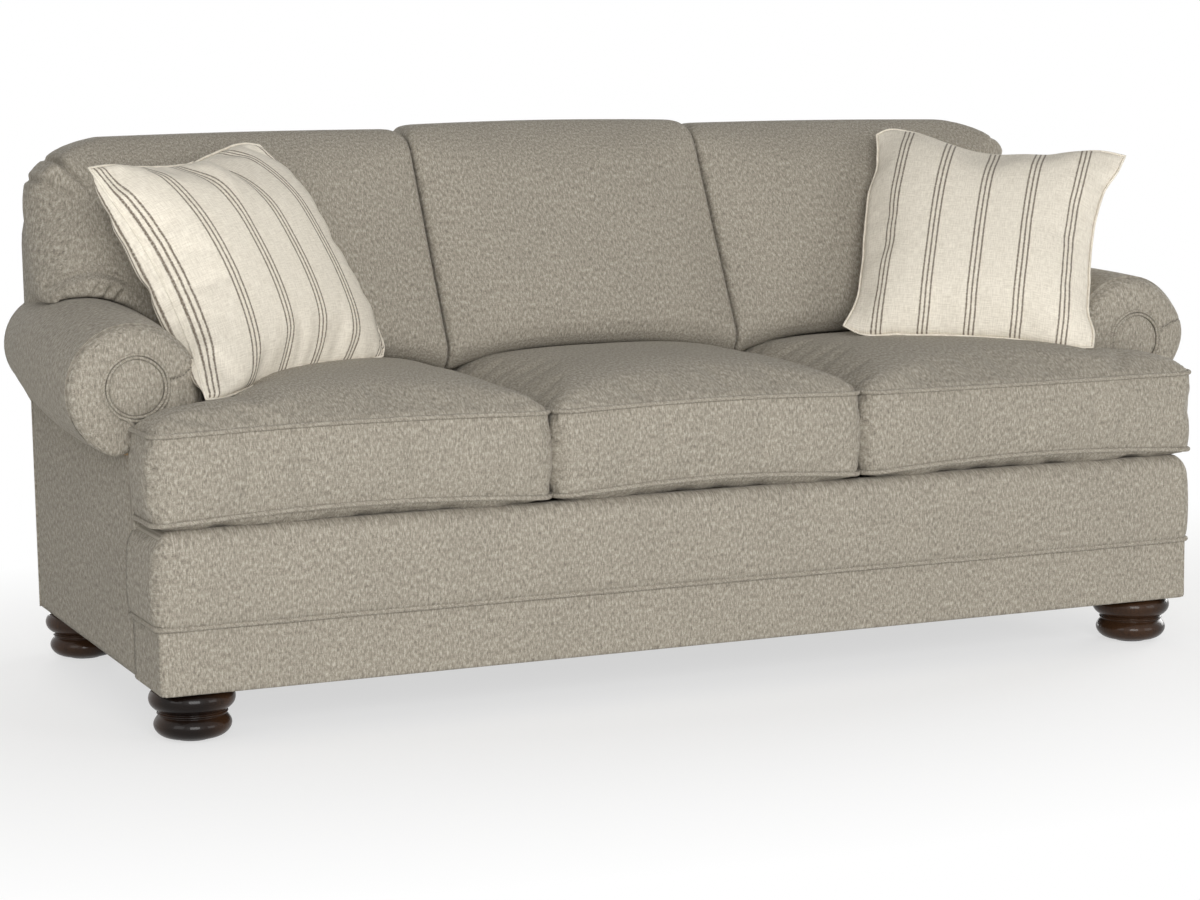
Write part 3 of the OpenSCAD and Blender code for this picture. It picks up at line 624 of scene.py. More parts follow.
def puff(jobs, s):
    # each job: the piece, the points that its seams hold, and how far a point may move
    for job in jobs:
        piece = job["piece"]
        held = piece.vertex_groups.new(name="held")
        held.add([int(i) for i in job["held"]], 1.0, "REPLACE")
        modifier = piece.modifiers.new("cloth", "CLOTH")
        cloth = modifier.settings
        cloth.quality = s["quality"]
        cloth.mass = s["mass"]
        cloth.tension_stiffness = cloth.compression_stiffness = s["stiffness"]
        cloth.shear_stiffness = s["shear"]
        cloth.bending_stiffness = s["bending"]
        cloth.use_pressure = True
        cloth.uniform_pressure_force = s["pressure"]
        cloth.vertex_group_mass = "held"
        cloth.shrink_min = job.get("slack", s["slack"])
        cloth.effector_weights.gravity = 0
        modifier.collision_settings.use_collision = False
        modifier.point_cache.frame_start = 1
        modifier.point_cache.frame_end = s["frames"]
        job["rest"] = coords(piece.data)
    for f in range(1, s["frames"] + 1):
        scene.frame_set(f)
    graph = bpy.context.evaluated_depsgraph_get()
    for job in jobs:
        piece = job["piece"]
        moved = coords(piece.evaluated_get(graph).data)
        step = calm(piece.data, moved - job["rest"], job.get("calm", 0)) * job.get("give", (1, 1, 1))
        size = np.linalg.norm(step, axis=1)
        cap = job["cap"]
        step *= (job["ease"] * cap * np.tanh(size / cap) / np.maximum(size, 1e-9))[:, None]
        piece.modifiers.clear()
        piece.vertex_groups.clear()
        setCoords(piece.data, job["rest"] + step)
    scene.frame_set(1)


def subdivide(piece):
    modifier = piece.modifiers.new("smooth", "SUBSURF")
    modifier.levels = modifier.render_levels = 1
    bake(piece)


# the roll of the arms, which the cushions fit round: X and Z of its axis and its radius

armRoll = {
    "front": -0.299,
    "rear": 0.440,
    "frontRoll": (0.9678, 0.5645, 0.1115),
    "rearRoll": (0.9323, 0.5850, 0.0943),
    "swell": 0.0146,           # the roll is fuller between its ends
}


# seat cushions

seatSettings = {
    "seam": 0.295,             # X of the seams between cushions
    "gap": 0.0055,
    "front": -0.465,
    "back": 0.170,
    "earBack": -0.311,
    "earSide": 0.987,
    "innerSide": 0.838,
    "low": 0.366,              # the lower and the upper welt's seam
    "high": 0.510,
    "bottom": 0.357,           # no lower than this before the cloth is puffed, and no lower than rest after
    "rest": 0.3515,
    "edgeRise": 0.022,
    "crown": 0.055,
    "pull": 0.004,
    "corner": 0.030,
    "weltRadius": 0.0042,
    # the upper welt bows up between the corners
    "bowUp": {"left": 0.006, "centre": 0.006, "right": -0.0015},
    "bowDown": -0.014,         # and so does the lower one
    "sideMiddle": (0.560, -0.375),             # where the rings of a side cushion close
    "pucker": (0.0009, 0.022),                 # depth and reach of the gathers at its seams
    "cap": 0.012,                              # how far the cloth may puff
    "held": 0.007,                             # distance from the seams that is held
    "ease": (0.003, 0.026),                    # distances over which it becomes free
}


def seatOutline(s, side, inset):
    # counter-clockwise from the front left. The outer cushions reach out in front of the arm
    middle = side == "centre"
    left = (-s["seam"] if middle else s["seam"]) + s["gap"] + inset
    right = (s["seam"] - s["gap"] if middle else s["innerSide"]) - inset
    ear = right if middle else s["earSide"] - inset
    front, back, earBack = s["front"] + inset, s["back"] - inset, s["earBack"] - inset
    r, pull = max(s["corner"] - inset, 0.006), s["pull"]
    if middle:
        end = drawn((right, front + r), (right, back - r), 46, pull)
    else:
        c = 0.010 + max(inset, -0.004)
        end = (drawn((ear, front + r), (ear, earBack - r), 9, 0.001)
               + arc((ear - r, earBack - r), r, 0, 90, 8)
               + drawn((ear - r, earBack), (right + c, earBack), 8)
               + arc((right + c, earBack + c), c, 270, 180, 4)
               + drawn((right, earBack + c), (right, back - r), 34, pull))
    return np.array(arc((left + r, front + r), r, 180, 270, 8)
                    + drawn((left + r, front), (ear - r, front), 44 if middle else 50, pull)
                    + arc((ear - r, front + r), r, 270, 360, 8)
                    + end
                    + arc((right - r, back - r), r, 0, 90, 8)
                    + drawn((right - r, back), (left + r, back), 44 if middle else 40, pull)
                    + arc((left + r, back - r), r, 90, 180, 8)
                    + drawn((left, back - r), (left, front + r), 46, pull))


def dome(t):
    return 1 - np.minimum(np.abs(2 * t - 1), 1) ** 3


def seatParts(s, side):
    leftX = -s["seam"] if side == "centre" else s["seam"]

    def outline(inset):
        return seatOutline(s, side, inset)

    def rightX(y):
        if side == "centre":
            return np.full_like(y, s["seam"])
        inward = np.clip((y - s["earBack"] + 0.06) / 0.12, 0, 1)
        return s["earSide"] + (s["innerSide"] - s["earSide"]) * inward

    def bow(p):
        t = np.clip((p[:, 0] - leftX) / (rightX(p[:, 1]) - leftX), 0, 1)
        front = np.clip(1 - (p[:, 1] - s["front"]) / 0.25, 0, 1)
        return np.sin(math.pi * t) * (0.35 + 0.65 * front)

    def crown(p):
        across = (p[:, 0] - leftX) / (rightX(p[:, 1]) - leftX)
        return dome(across) * dome((p[:, 1] - s["front"]) / (s["back"] - s["front"]))

    def ring(p, z):
        z = np.full(len(p), z) if np.isscalar(z) else z
        share = np.clip((z - s["low"]) / (s["high"] - s["low"]), 0, 1)
        down = s["bowDown"] * (1 - share) * np.clip(1 - (s["low"] - z) / 0.009, 0, 1)
        lift = s["bowUp"][side] * share - down
        return np.column_stack((p, z + lift * bow(p)))

    def upper(p, k):
        return ring(p, s["high"] + k * (s["edgeRise"] + (s["crown"] - s["edgeRise"]) * crown(p)))

    def lower(p, k):
        return ring(p, np.maximum(s["bottom"], s["low"] - k * (0.010 + 0.012 * crown(p))))

    def shrink(p, k):
        return centre + (p - centre) * k

    centre = np.array((0.0, (s["front"] + s["back"]) / 2) if side == "centre" else s["sideMiddle"])
    tall = s["high"] - s["low"]
    wide = outline(0.040)
    rings = [lower(shrink(wide, k), 1) for k in (0.3, 0.6, 0.85)]
    rings += [lower(wide, 1), lower(outline(0.020), 0.92), lower(outline(0.008), 0.55)]
    rings += [ring(outline(0), s["low"])]
    rings += [ring(outline(-0.0045 * math.sin(math.pi * k) ** 0.6), s["low"] + tall * k)
              for k in (0.08, 0.2, 0.35, 0.5, 0.65, 0.8, 0.92)]
    rings += [ring(outline(0), s["high"]), upper(outline(0.006), 0.38), upper(outline(0.014), 0.66),
              upper(outline(0.026), 0.87), upper(wide, 1)]
    rings += [upper(shrink(wide, k), 1) for k in (0.88, 0.74, 0.58, 0.42, 0.26, 0.12)]
    ends = [height(centre[None, :], 1)[0] for height in (lower, upper)]
    return rings, ends, [ring(outline(-0.002), z) for z in (s["low"], s["high"])]


jobs = []
seatPieces = {}
for side in ("left", "centre", "right"):
    rings, ends, seams = seatParts(seatSettings, side)
    piece = loftSide("seatCushion", side, rings, ends, False)
    if side == "left":
        seams = [seam * mirror for seam in seams]
    seams = [densify(seam, 0.006) for seam in seams]
    remesh(piece, puffSettings["voxel"])
    seatPieces[side] = {"piece": piece, "seams": seams}
    away = fromSeams(coords(piece.data), seams)
    held = np.nonzero(away < seatSettings["held"])[0]
    jobs.append({"piece": piece, "cap": seatSettings["cap"], "held": held,
                 "ease": smoothStep(away, *seatSettings["ease"])})
print("seat forms:", [len(j["piece"].data.vertices) for j in jobs])


# back cushions

backSettings = {
    "seam": 0.2955,
    "low": 0.528,
    "lowCrown": 0.036,         # rise of the lower edge over the crown of the seat
    "earOut": 1.0130,
    "innerSide": 0.829,
    "top": 0.9745,
    "centreTop": 0.982,
    "crown": 0.032,
    "edge": 0.012,             # rounding of the front edge
    "underRoll": 0.058,        # how far the front turns back above its lower edge
    "topRoll": 0.024,
    "earTurn": 0.120,          # how far the front turns back at the outer edge of an ear
    "faceZ": 0.540,            # height where the front and rear faces have the Y given here
    "frontLow": 0.013,
    "frontSlope": 0.514,
    "rearLow": 0.243,
    "rearSlope": 0.303,
    "roll": (0.946, 0.577, 0.116),      # X, Z and radius of the hollow over the arm
    "corner": 0.030,
    "lowCorner": 0.012,
    "shoulder": ((1.0130, 0.846), (1.0115, 0.868), (1.0070, 0.889), (0.9990, 0.9065), (0.9840, 0.9215),
                 (0.9665, 0.9365), (0.9480, 0.9480), (0.9290, 0.9570), (0.9040, 0.9650), (0.8740, 0.9712)),
    "shoulderCentre": (0.885, 0.835),
    # angle about the shoulder's centre, depth
    "pleats": {"left": ((29, 0.0100), (51, 0.0175)), "right": ((29, 0.0030), (51, 0.0025))},
    "earRoll": 0.112,                   # radius from which the fold along the ear's lower edge is measured
    "earFold": (0.0120, 0.0052),        # depth and half width of that fold, and of the swelling beside it
    "earSwell": (0.0060, 0.008),
    "tucks": ((0.934, 0.708), (0.915, 0.704), (0.897, 0.696)),
    "tuckDepth": 0.0110,
    "tuckSize": (0.0046, 0.016),        # half width, half length
    "tuckWay": (0.58, 0.81),
    "seamCloth": 1.124,                 # length of cloth for one unit of height up the sloping front
    "pucker": (0.00035, 0.03),
    "cap": 0.013,
    "press": 0.0008,                    # gap to the arm's roll
}


def frontFace(z):
    return backSettings["frontLow"] + (z - backSettings["faceZ"]) * backSettings["frontSlope"]


def rearFace(z):
    return backSettings["rearLow"] + (z - backSettings["faceZ"]) * backSettings["rearSlope"]


def lowEdge(s, x, leftX, rightX, inset):
    x = np.asarray(x)
    return s["low"] + inset + s["lowCrown"] * (1 - np.abs(2 * (x - leftX) / (rightX - leftX) - 1) ** 3)


def backOutline(s, side, inset):
    # counter-clockwise from the lower left. The outer cushions have an ear over the arm
    middle = side == "centre"
    half = s["seam"] - 0.0015 - inset
    left, right = (-half, half) if middle else (s["seam"] + inset, s["innerSide"] - inset)
    low, top = s["low"] + inset, s["centreTop" if middle else "top"] - inset
    r, q = max(s["corner"] - inset, 0.006), max(s["lowCorner"] - inset * 0.5, 0.006)
    xs = np.linspace(left + q, right - q, 48 if middle else 44)
    edges = (-s["seam"], s["seam"]) if middle else (s["seam"], s["innerSide"])
    if middle:
        end = (drawn((right, low + q), (right, top - r), 44, 0.001)
               + arc((right - r, top - r), r, 0, 90, 8)
               + drawn((right - r, top), (left + r, top), 44, -0.004))
    else:
        out, e = s["earOut"] - inset, max(0.026 - inset, 0.006)
        rollX, rollZ, c = s["roll"]
        c += inset
        centre, knots, shoulder = np.array(s["shoulderCentre"]), np.array(s["shoulder"]), []
        for k in np.linspace(0, len(knots) - 1, 30):
            i = min(int(k), len(knots) - 2)
            point = knots[i] + (knots[i + 1] - knots[i]) * (k - i)
            way = (point - centre) / np.linalg.norm(point - centre)
            shoulder.append(tuple(point - way * inset))
        end = (drawn((right, low + q), (rollX - c, rollZ), 8)
               + arc((rollX, rollZ), c, 180, 64, 30)
               + arc((out - e, rollZ + c * 0.87 + e - 0.002), e, 270, 360, 6)
               + drawn((out, rollZ + c * 0.87 + e), shoulder[0], 14)
               + shoulder
               + drawn(shoulder[-1], (left + r, top), 44, -0.002))
    return np.array([(left, low + q * 0.9), (left + q * 0.35, low + q * 0.3)]
                    + list(zip(xs, lowEdge(s, xs, *edges, inset)))
                    + [(right - q * 0.35, low + q * 0.3), (right, low + q * 0.9)]
                    + end
                    + arc((left + r, top - r), r, 90, 180, 8)
                    + drawn((left, top - r), (left, low + q), 44, 0.001))


def backParts(s, side):
    leftX, rightX = (-s["seam"], s["seam"]) if side == "centre" else (s["seam"], s["earOut"])
    top = s["centreTop"] if side == "centre" else s["top"]
    centre = np.array((0.0, 0.770) if side == "centre" else (0.580, 0.800))

    def outline(inset):
        return backOutline(s, side, inset)

    def shrink(p, k):
        return centre + (p - centre) * k

    def crown(p):
        return dome((p[:, 0] - leftX) / (rightX - leftX)) * dome((p[:, 1] - s["low"]) / (top - s["low"]))

    def turned(p):
        # the front turns back above its lower edge and below its top
        right = s["seam"] if side == "centre" else s["innerSide"]
        inside = 1 - smoothStep(p[:, 0], right - 0.01, right + 0.02) if side != "centre" else 1
        above = p[:, 1] - lowEdge(s, np.clip(p[:, 0], leftX, right), leftX, right, 0)
        ear = 0
        if side != "centre":
            outward = np.clip((p[:, 0] - 0.925) / (s["earOut"] - 0.925), 0, 1)
            ear = s["earTurn"] * outward ** 1.7 * (1 - smoothStep(p[:, 1], 0.84, 0.945))
        return (s["underRoll"] * inside * (1 - np.clip(above / 0.060, 0, 1)) ** 2 + ear
                + s["topRoll"] * (1 - np.clip((top - p[:, 1]) / 0.050, 0, 1)) ** 2)

    def front(p, k):
        y = frontFace(p[:, 1]) + s["edge"] * (1 - k) - k * (0.002 + s["crown"] * crown(p)) + turned(p)
        return stand(p, y)

    def rear(p, forward):
        return stand(p, rearFace(p[:, 1]) - forward)

    def between(p, t):
        y = (frontFace(p[:, 1]) + s["edge"] + turned(p)) * (1 - t) + (rearFace(p[:, 1]) - 0.016) * t
        return stand(p, y)

    wide = outline(0.050)
    rings = [rear(shrink(wide, k), 0.001) for k in (0.3, 0.6, 0.85)]
    rings += [rear(wide, 0.001), rear(outline(0.026), 0.001), rear(outline(0.010), 0.006),
              rear(outline(0.003), 0.016)]
    rings += [between(outline(0.001), 0.75), between(outline(0), 0.5), between(outline(0), 0.25)]
    rings += [front(outline(0.0005), 0), front(outline(0.0026), 0.5), front(outline(0.007), 0.84),
              front(outline(0.014), 0.96), front(outline(0.028), 1), front(wide, 1)]
    rings += [front(shrink(wide, k), 1) for k in (0.86, 0.7, 0.54, 0.38, 0.22, 0.1)]
    ends = [rear(centre[None, :], 0.001)[0], front(centre[None, :], 1)[0]]
    return rings, ends, front(outline(0.0012), 0.2)


backPieces = {}
for side in ("left", "centre", "right"):
    rings, ends, seam = backParts(backSettings, side)
    piece = loftSide("backCushion", side, rings, ends, True)
    remesh(piece, puffSettings["backVoxel"])
    co = coords(piece.data)
    seam = densify(seam * mirror if side == "left" else seam, 0.006)
    away = fromSeams(co, [seam])
    rear = rearFace(co[:, 2]) - co[:, 1]
    backPieces[side] = {"piece": piece, "seam": seam}
    jobs.append({"piece": piece, "cap": backSettings["cap"],
                 "held": np.nonzero((away < 0.006) | (rear < 0.02))[0],
                 "calm": 26, "give": (1, 1, 0.35), "slack": 0.0,
                 "ease": smoothStep(away, 0.002, 0.030) * smoothStep(rear, 0.015, 0.040)})
print("back forms:", [len(j["piece"].data.vertices) for j in jobs[3:]])


# throw pillows

pillowSettings = {
    "size": 0.460,
    "crown": 0.062,
    "rear": 0.046,
    "cells": 72,
    "weltRadius": 0.0022,
    "cornerReach": 0.115,      # how far the lower left corner's drop is felt
    "cap": 0.012,
    "reach": 0.020,            # of the gathers at its edges
    "gathers": ((0.013, 1.0), (0.021, 0.8), (0.043, 0.8)),
    "seed": {"left": 41, "right": 42},
}
# place, turn, edges from corner to corner in the pillow's own plane (X, Z), shift of the stripes,
# share of the stripes that runs straight, depth of the puckers
pillowPlaces = {
    "left": {
        "place": (-0.714, -0.034, 0.758), "turn": (-33, -4, 32.5), "shift": 0.0414,
        "top": ((-0.2225, 0.2194), (-0.1796, 0.2182), (-0.1145, 0.2090), (-0.0632, 0.2035),
                (-0.0098, 0.2000), (0.0149, 0.1995), (0.0351, 0.2045), (0.0709, 0.2140),
                (0.1380, 0.2255), (0.2008, 0.2275), (0.2309, 0.2195)),
        "right": ((0.2309, 0.2195), (0.2500, 0.1700), (0.2560, 0.0884), (0.2560, -0.0126),
                  (0.2541, -0.1149), (0.2500, -0.1849), (0.2400, -0.2200), (0.2240, -0.2370)),
        "low": ((-0.2500, -0.2400), (-0.2210, -0.2430), (-0.1726, -0.2400), (-0.1038, -0.2320),
                (-0.0275, -0.2292), (0.0728, -0.2300), (0.1669, -0.2370), (0.2240, -0.2370)),
        "left": ((-0.2225, 0.2194), (-0.2145, 0.1700), (-0.2060, 0.1220), (-0.1994, 0.0697),
                 (-0.2001, -0.0101), (-0.2109, -0.0897), (-0.2251, -0.1588), (-0.2500, -0.2400)),
        "sideBulge": 0.040, "dent": (0.13, 0.024), "drop": (-0.0255, -0.0890, 0.0150),
        "straight": 0.0, "pucker": 0.0012, "calm": 2,
    },
    "right": {
        "place": (0.744, -0.108, 0.752), "turn": (-41, 4.5, -36), "shift": -0.003,
        "top": ((-0.2360, 0.2330), (-0.2196, 0.2455), (-0.1698, 0.2440), (-0.1240, 0.2329),
                (-0.0871, 0.2223), (-0.0381, 0.2100), (0.0012, 0.2070), (0.0553, 0.2114),
                (0.1075, 0.2150), (0.1605, 0.2240), (0.2122, 0.2290), (0.2520, 0.2240)),
        "right": ((0.2520, 0.2240), (0.2420, 0.1850), (0.2260, 0.1450), (0.2156, 0.0800),
                  (0.2135, -0.0048), (0.2169, -0.0855), (0.2232, -0.1670), (0.2340, -0.2052),
                  (0.2350, -0.2360)),
        "low": ((-0.2330, -0.2340), (-0.2050, -0.2460), (-0.1257, -0.2460), (0.0033, -0.2389),
                (0.1059, -0.2361), (0.1956, -0.2400), (0.2350, -0.2360)),
        "left": ((-0.2360, 0.2330), (-0.2290, 0.1928), (-0.2265, 0.1575), (-0.2322, 0.0865),
                 (-0.2311, 0.0098), (-0.2220, -0.0891), (-0.2220, -0.1871), (-0.2330, -0.2340)),
        "sideBulge": 0.006, "dent": (0.0, 0.0), "drop": (0, 0, 0),
        "straight": 0.75, "pucker": 0.0004, "calm": 14,
    },
}


def spaced(points, count):
    # smooth line through the points, evenly divided
    points = np.array(points, float)
    run = runAlong(points)
    t = np.linspace(0, run[-1], count)
    tangent = np.gradient(points, run, axis=0)
    i = np.clip(np.searchsorted(run, t, side="right") - 1, 0, len(run) - 2)
    gap = (run[i + 1] - run[i])[:, None]
    u = (t - run[i])[:, None] / gap
    return ((2 * u**3 - 3 * u**2 + 1) * points[i] + (u**3 - 2 * u**2 + u) * gap * tangent[i]
            + (3 * u**2 - 2 * u**3) * points[i + 1] + (u**3 - u**2) * gap * tangent[i + 1])


def pillowForm(s, own, name):
    n = s["cells"]
    h = s["size"] / 2
    t = np.linspace(-1, 1, n + 1)
    a, b = np.meshgrid(t, t, indexing="ij")
    low, top = spaced(own["low"], n + 1), spaced(own["top"], n + 1)
    left, right = spaced(own["left"][::-1], n + 1), spaced(own["right"][::-1], n + 1)
    u, v = (a[..., None] + 1) / 2, (b[..., None] + 1) / 2
    flat = ((1 - v) * low[:, None] + v * top[:, None] + (1 - u) * left[None] + u * right[None]
            - (1 - u) * (1 - v) * low[0] - u * (1 - v) * low[-1] - (1 - u) * v * top[0] - u * v * top[-1])
    x, z = flat[..., 0], flat[..., 1]
    full = ((1 - np.abs(a) ** 2.6) * (1 - np.abs(b) ** 2.6)) ** 0.60
    at, depth = own["dent"]
    dent = depth * smoothStep(a, at - 0.06, at + 0.10) * smoothStep(b, 0.25, 1.0)
    dent = dent * (1 - 0.5 * smoothStep(a, 0.5, 1.0))
    ridge = 0.35 * depth * np.exp(-((a - at + 0.10 + 0.25 * (1 - b)) / 0.09) ** 2) * smoothStep(b, 0.1, 0.8)
    front = np.stack((x, -s["crown"] * full + dent - ridge * full ** 0.3, z), -1).reshape(-1, 3)
    bulge = own["sideBulge"] * np.exp(-((a + 0.88) / 0.13) ** 2) * np.cos(math.pi * b / 2) ** 0.6
    rearFull = ((1 - np.abs(a) ** 5) * (1 - np.abs(b) ** 3)) ** 0.55
    rear = np.stack((x - bulge, s["rear"] * rearFull + dent, z), -1).reshape(-1, 3)
    border = (np.abs(a) > 0.9999) | (np.abs(b) > 0.9999)
    index = np.arange((n + 1) ** 2).reshape(n + 1, n + 1)
    second = index.copy()
    second[~border] = (n + 1) ** 2 + np.arange((~border).sum())
    points = np.vstack((front, rear[(~border).ravel()]))
    run = a * h * (1 - own["straight"]) + x * own["straight"]
    cloth = np.stack((run + own["shift"], b * h), -1).reshape(-1, 2)
    faces, uv = [], []
    for i in range(n):
        for j in range(n):
            ring = ((i, j), (i + 1, j), (i + 1, j + 1), (i, j + 1))
            faces.append([index[k] for k in ring])
            uv += [cloth[index[k]] for k in ring]
            faces.append([second[k] for k in ring[::-1]])
            uv += [cloth[index[k]] for k in ring[::-1]]
    piece = makePiece(name, points, faces, linen)
    setCloth(piece.data, uv)
    return piece, np.concatenate((index[:n, 0], index[n, :n], index[:0:-1, n], index[0, :0:-1]))


pillowPieces = {}
for side in ("left", "right"):
    piece, edge = pillowForm(pillowSettings, pillowPlaces[side], "throwPillow" + side.capitalize())
    pillowPieces[side] = {"piece": piece, "edge": edge}
    jobs.append({"piece": piece, "cap": pillowSettings["cap"], "slack": -0.04, "held": edge, "ease": 1.0,
                 "calm": pillowPlaces[side]["calm"]})

puff(jobs, puffSettings)
print("padded pieces puffed:", len(jobs))


sign = {"left": -1, "centre": 1, "right": 1}
seed = {"left": 1, "centre": 2, "right": 3}


def finishSeat(side, s):
    piece, seams = seatPieces[side]["piece"], seatPieces[side]["seams"]
    subdivide(piece)
    mesh = piece.data
    co = coords(mesh)
    ends = [sign[side] * s[key] for key in ("seam", "earSide")]
    if side == "centre":
        ends = (-s["seam"], s["seam"])
    for k, (seam, z) in enumerate(zip(seams, (s["low"], s["high"]))):
        corners = [(x, s["front"], z) for x in ends]
        co = gather(mesh, co, seam, 10 + seed[side] + 10 * k, *s["pucker"], corners)
    # the underside stays flat on the deck
    co[:, 2] = np.maximum(co[:, 2], s["rest"])
    setCoords(mesh, co)
    mapCloth(piece, level)
    name = "seatWelt" + side.capitalize()
    welts = [makeTube(name + str(k), seam, s["weltRadius"], tweed) for k, seam in enumerate(seams)]
    enter(piece, "seat_" + side, "tweed", "seat_cushion_" + side, "seat_core_" + side, fill=0.8)
    enter(joinPieces(name, welts), "seat_" + side, "tweed", "seat_welt_" + side)


for side in seatPieces:
    finishSeat(side, seatSettings)
print("seat cushions finished")


def clearOfRoll(co, side, gap):
    # a cushion that is pressed on the arm takes the shape of its roll
    k = np.clip((co[:, 1] - armRoll["front"]) / (armRoll["rear"] - armRoll["front"]), 0, 1)
    x, z, r = (a + (b - a) * k for a, b in zip(armRoll["frontRoll"], armRoll["rearRoll"]))
    r = r + armRoll["swell"] * 4 * k * (1 - k) + gap
    across, up = co[:, 0] * sign[side] - x, co[:, 2] - z
    reach = np.hypot(across, up)
    push = np.where((reach < r) & (reach > r * 0.5), r / np.maximum(reach, 1e-6), 1)
    return np.column_stack((sign[side] * (x + across * push), co[:, 1], z + up * push))


def backCloth(points, normals, centres):
    # up the sloping front, and on round its turned edges
    up = points[:, 2] * backSettings["seamCloth"]
    turned = 0.9 * np.clip(points[:, 1] - frontFace(points[:, 2]), 0, 0.07)
    on = np.where(normals[:, 2] > 0.6, points[:, 1], np.where(centres[:, 2] > 0.75, turned, -turned))
    return bolt(points, normals, centres, up + on)


def foldEar(co, side, s, seam):
    # pleats over the shoulder, a fold along the ear's lower edge, and short tucks at that fold's inner end
    x, z = co[:, 0] * sign[side], co[:, 2]
    away = fromSeams(co, [seam])
    across, up = x - s["shoulderCentre"][0], z - s["shoulderCentre"][1]
    reach = np.hypot(across, up)
    angle = np.degrees(np.arctan2(up, across))
    for place, depth in s["pleats"][side]:
        fold = depth * np.exp(-((angle - place) / 2.6) ** 2) * (reach > 0.05)
        co[:, 1] += 0.7 * fold * np.exp(-away / 0.030) * (co[:, 1] < frontFace(z) + 0.03)
        inward = fold * np.exp(-(away / 0.085) ** 2) / np.maximum(reach, 0.02)
        co[:, 0] -= sign[side] * inward * across
        co[:, 2] -= inward * up
    x, z = co[:, 0] * sign[side], co[:, 2]
    onFront = co[:, 1] < frontFace(z) + 0.09
    low = smoothStep(x, 0.86, 0.90) * (1 - smoothStep(z, 0.76, 0.80)) * onFront
    roll = np.hypot(x - armRoll["rearRoll"][0], z - armRoll["rearRoll"][1]) - s["earRoll"]
    line = 0.027 + 0.014 * np.sin(np.clip((x - 0.86) / 0.15, 0, 1) * math.pi)
    co[:, 1] += s["earFold"][0] * low * np.exp(-((roll - line) / s["earFold"][1]) ** 2)
    co[:, 1] -= s["earSwell"][0] * low * np.exp(-((roll - line + 0.014) / s["earSwell"][1]) ** 2)
    wide, long = s["tuckSize"]
    a, b = s["tuckWay"]
    for cx, cz in s["tucks"]:
        along = (x - cx) * a - (z - cz) * b
        across = (x - cx) * b + (z - cz) * a
        co[:, 1] += s["tuckDepth"] * onFront * np.exp(-(across / wide) ** 2 - (along / long) ** 2)


def finishBack(side, s):
    piece, seam = backPieces[side]["piece"], backPieces[side]["seam"]
    subdivide(piece)
    mesh = piece.data
    if side == "centre":
        ends = [(x, z) for x in (s["seam"], -s["seam"]) for z in (s["low"], s["top"])]
    else:
        ends = [(s["seam"], s["low"]), (s["seam"], s["top"]), (0.99, 0.69), (s["innerSide"], 0.56)]
    corners = [(sign[side] * x, frontFace(z), z) for x, z in ends]
    co = gather(mesh, coords(mesh), seam, 30 + seed[side], *s["pucker"], corners)
    if side != "centre":
        foldEar(co, side, s, seam)
        co = clearOfRoll(co, side, s["press"])
    setCoords(mesh, co)
    mapCloth(piece, backCloth)
    enter(piece, "frame", "tweed", "back_cushion_" + side, "back_fill_" + side, fill=0.75)


for side in backPieces:
    finishBack(side, backSettings)
print("back cushions finished")


def finishPillow(side, s):
    piece, own = pillowPieces[side]["piece"], pillowPlaces[side]
    matrix = Matrix.Translation(own["place"])
    for angle, axis in zip(own["turn"][::-1], "ZYX"):
        matrix = matrix @ Matrix.Rotation(math.radians(angle), 4, axis)
    # its lower left corner rests on the seat's crown
    co = coords(piece.data)
    corner = co[pillowPieces[side]["edge"][0]]
    near = np.exp(-(np.linalg.norm(co - corner, axis=1) / s["cornerReach"]) ** 2)
    co += near[:, None] * np.array(matrix.to_3x3().transposed() @ Vector(own["drop"]))
    setCoords(piece.data, co)
    edge = co[pillowPieces[side]["edge"]]
    path = densify(edge, 0.004)
    welt = makeTube("pillowWelt" + side.capitalize(), path, s["weltRadius"], linen, (0, 1, 0), 8)
    plain = linenSettings["groupPitch"] / 2     # the cord is cut from between the stripes
    mapCloth(welt, lambda p, n, c: np.column_stack((plain + 0.1 * p[:, 1], p[:, 0] + p[:, 2])))
    subdivide(piece)
    mesh = piece.data
    corners = edge[[0, s["cells"], 2 * s["cells"], 3 * s["cells"]]]
    setCoords(mesh, gather(mesh, coords(mesh), edge, s["seed"][side], own["pucker"], s["reach"], corners,
                           s["gathers"]))
    for part in (piece, welt):
        part.data.transform(matrix)
    enter(piece, "throw_" + side, "striped_linen", "pillow_" + side, "pillow_insert_" + side, fill=0.7)
    enter(welt, "throw_" + side, "striped_linen")


for side in pillowPieces:
    finishPillow(side, pillowSettings)
print("pillows finished")


# arms

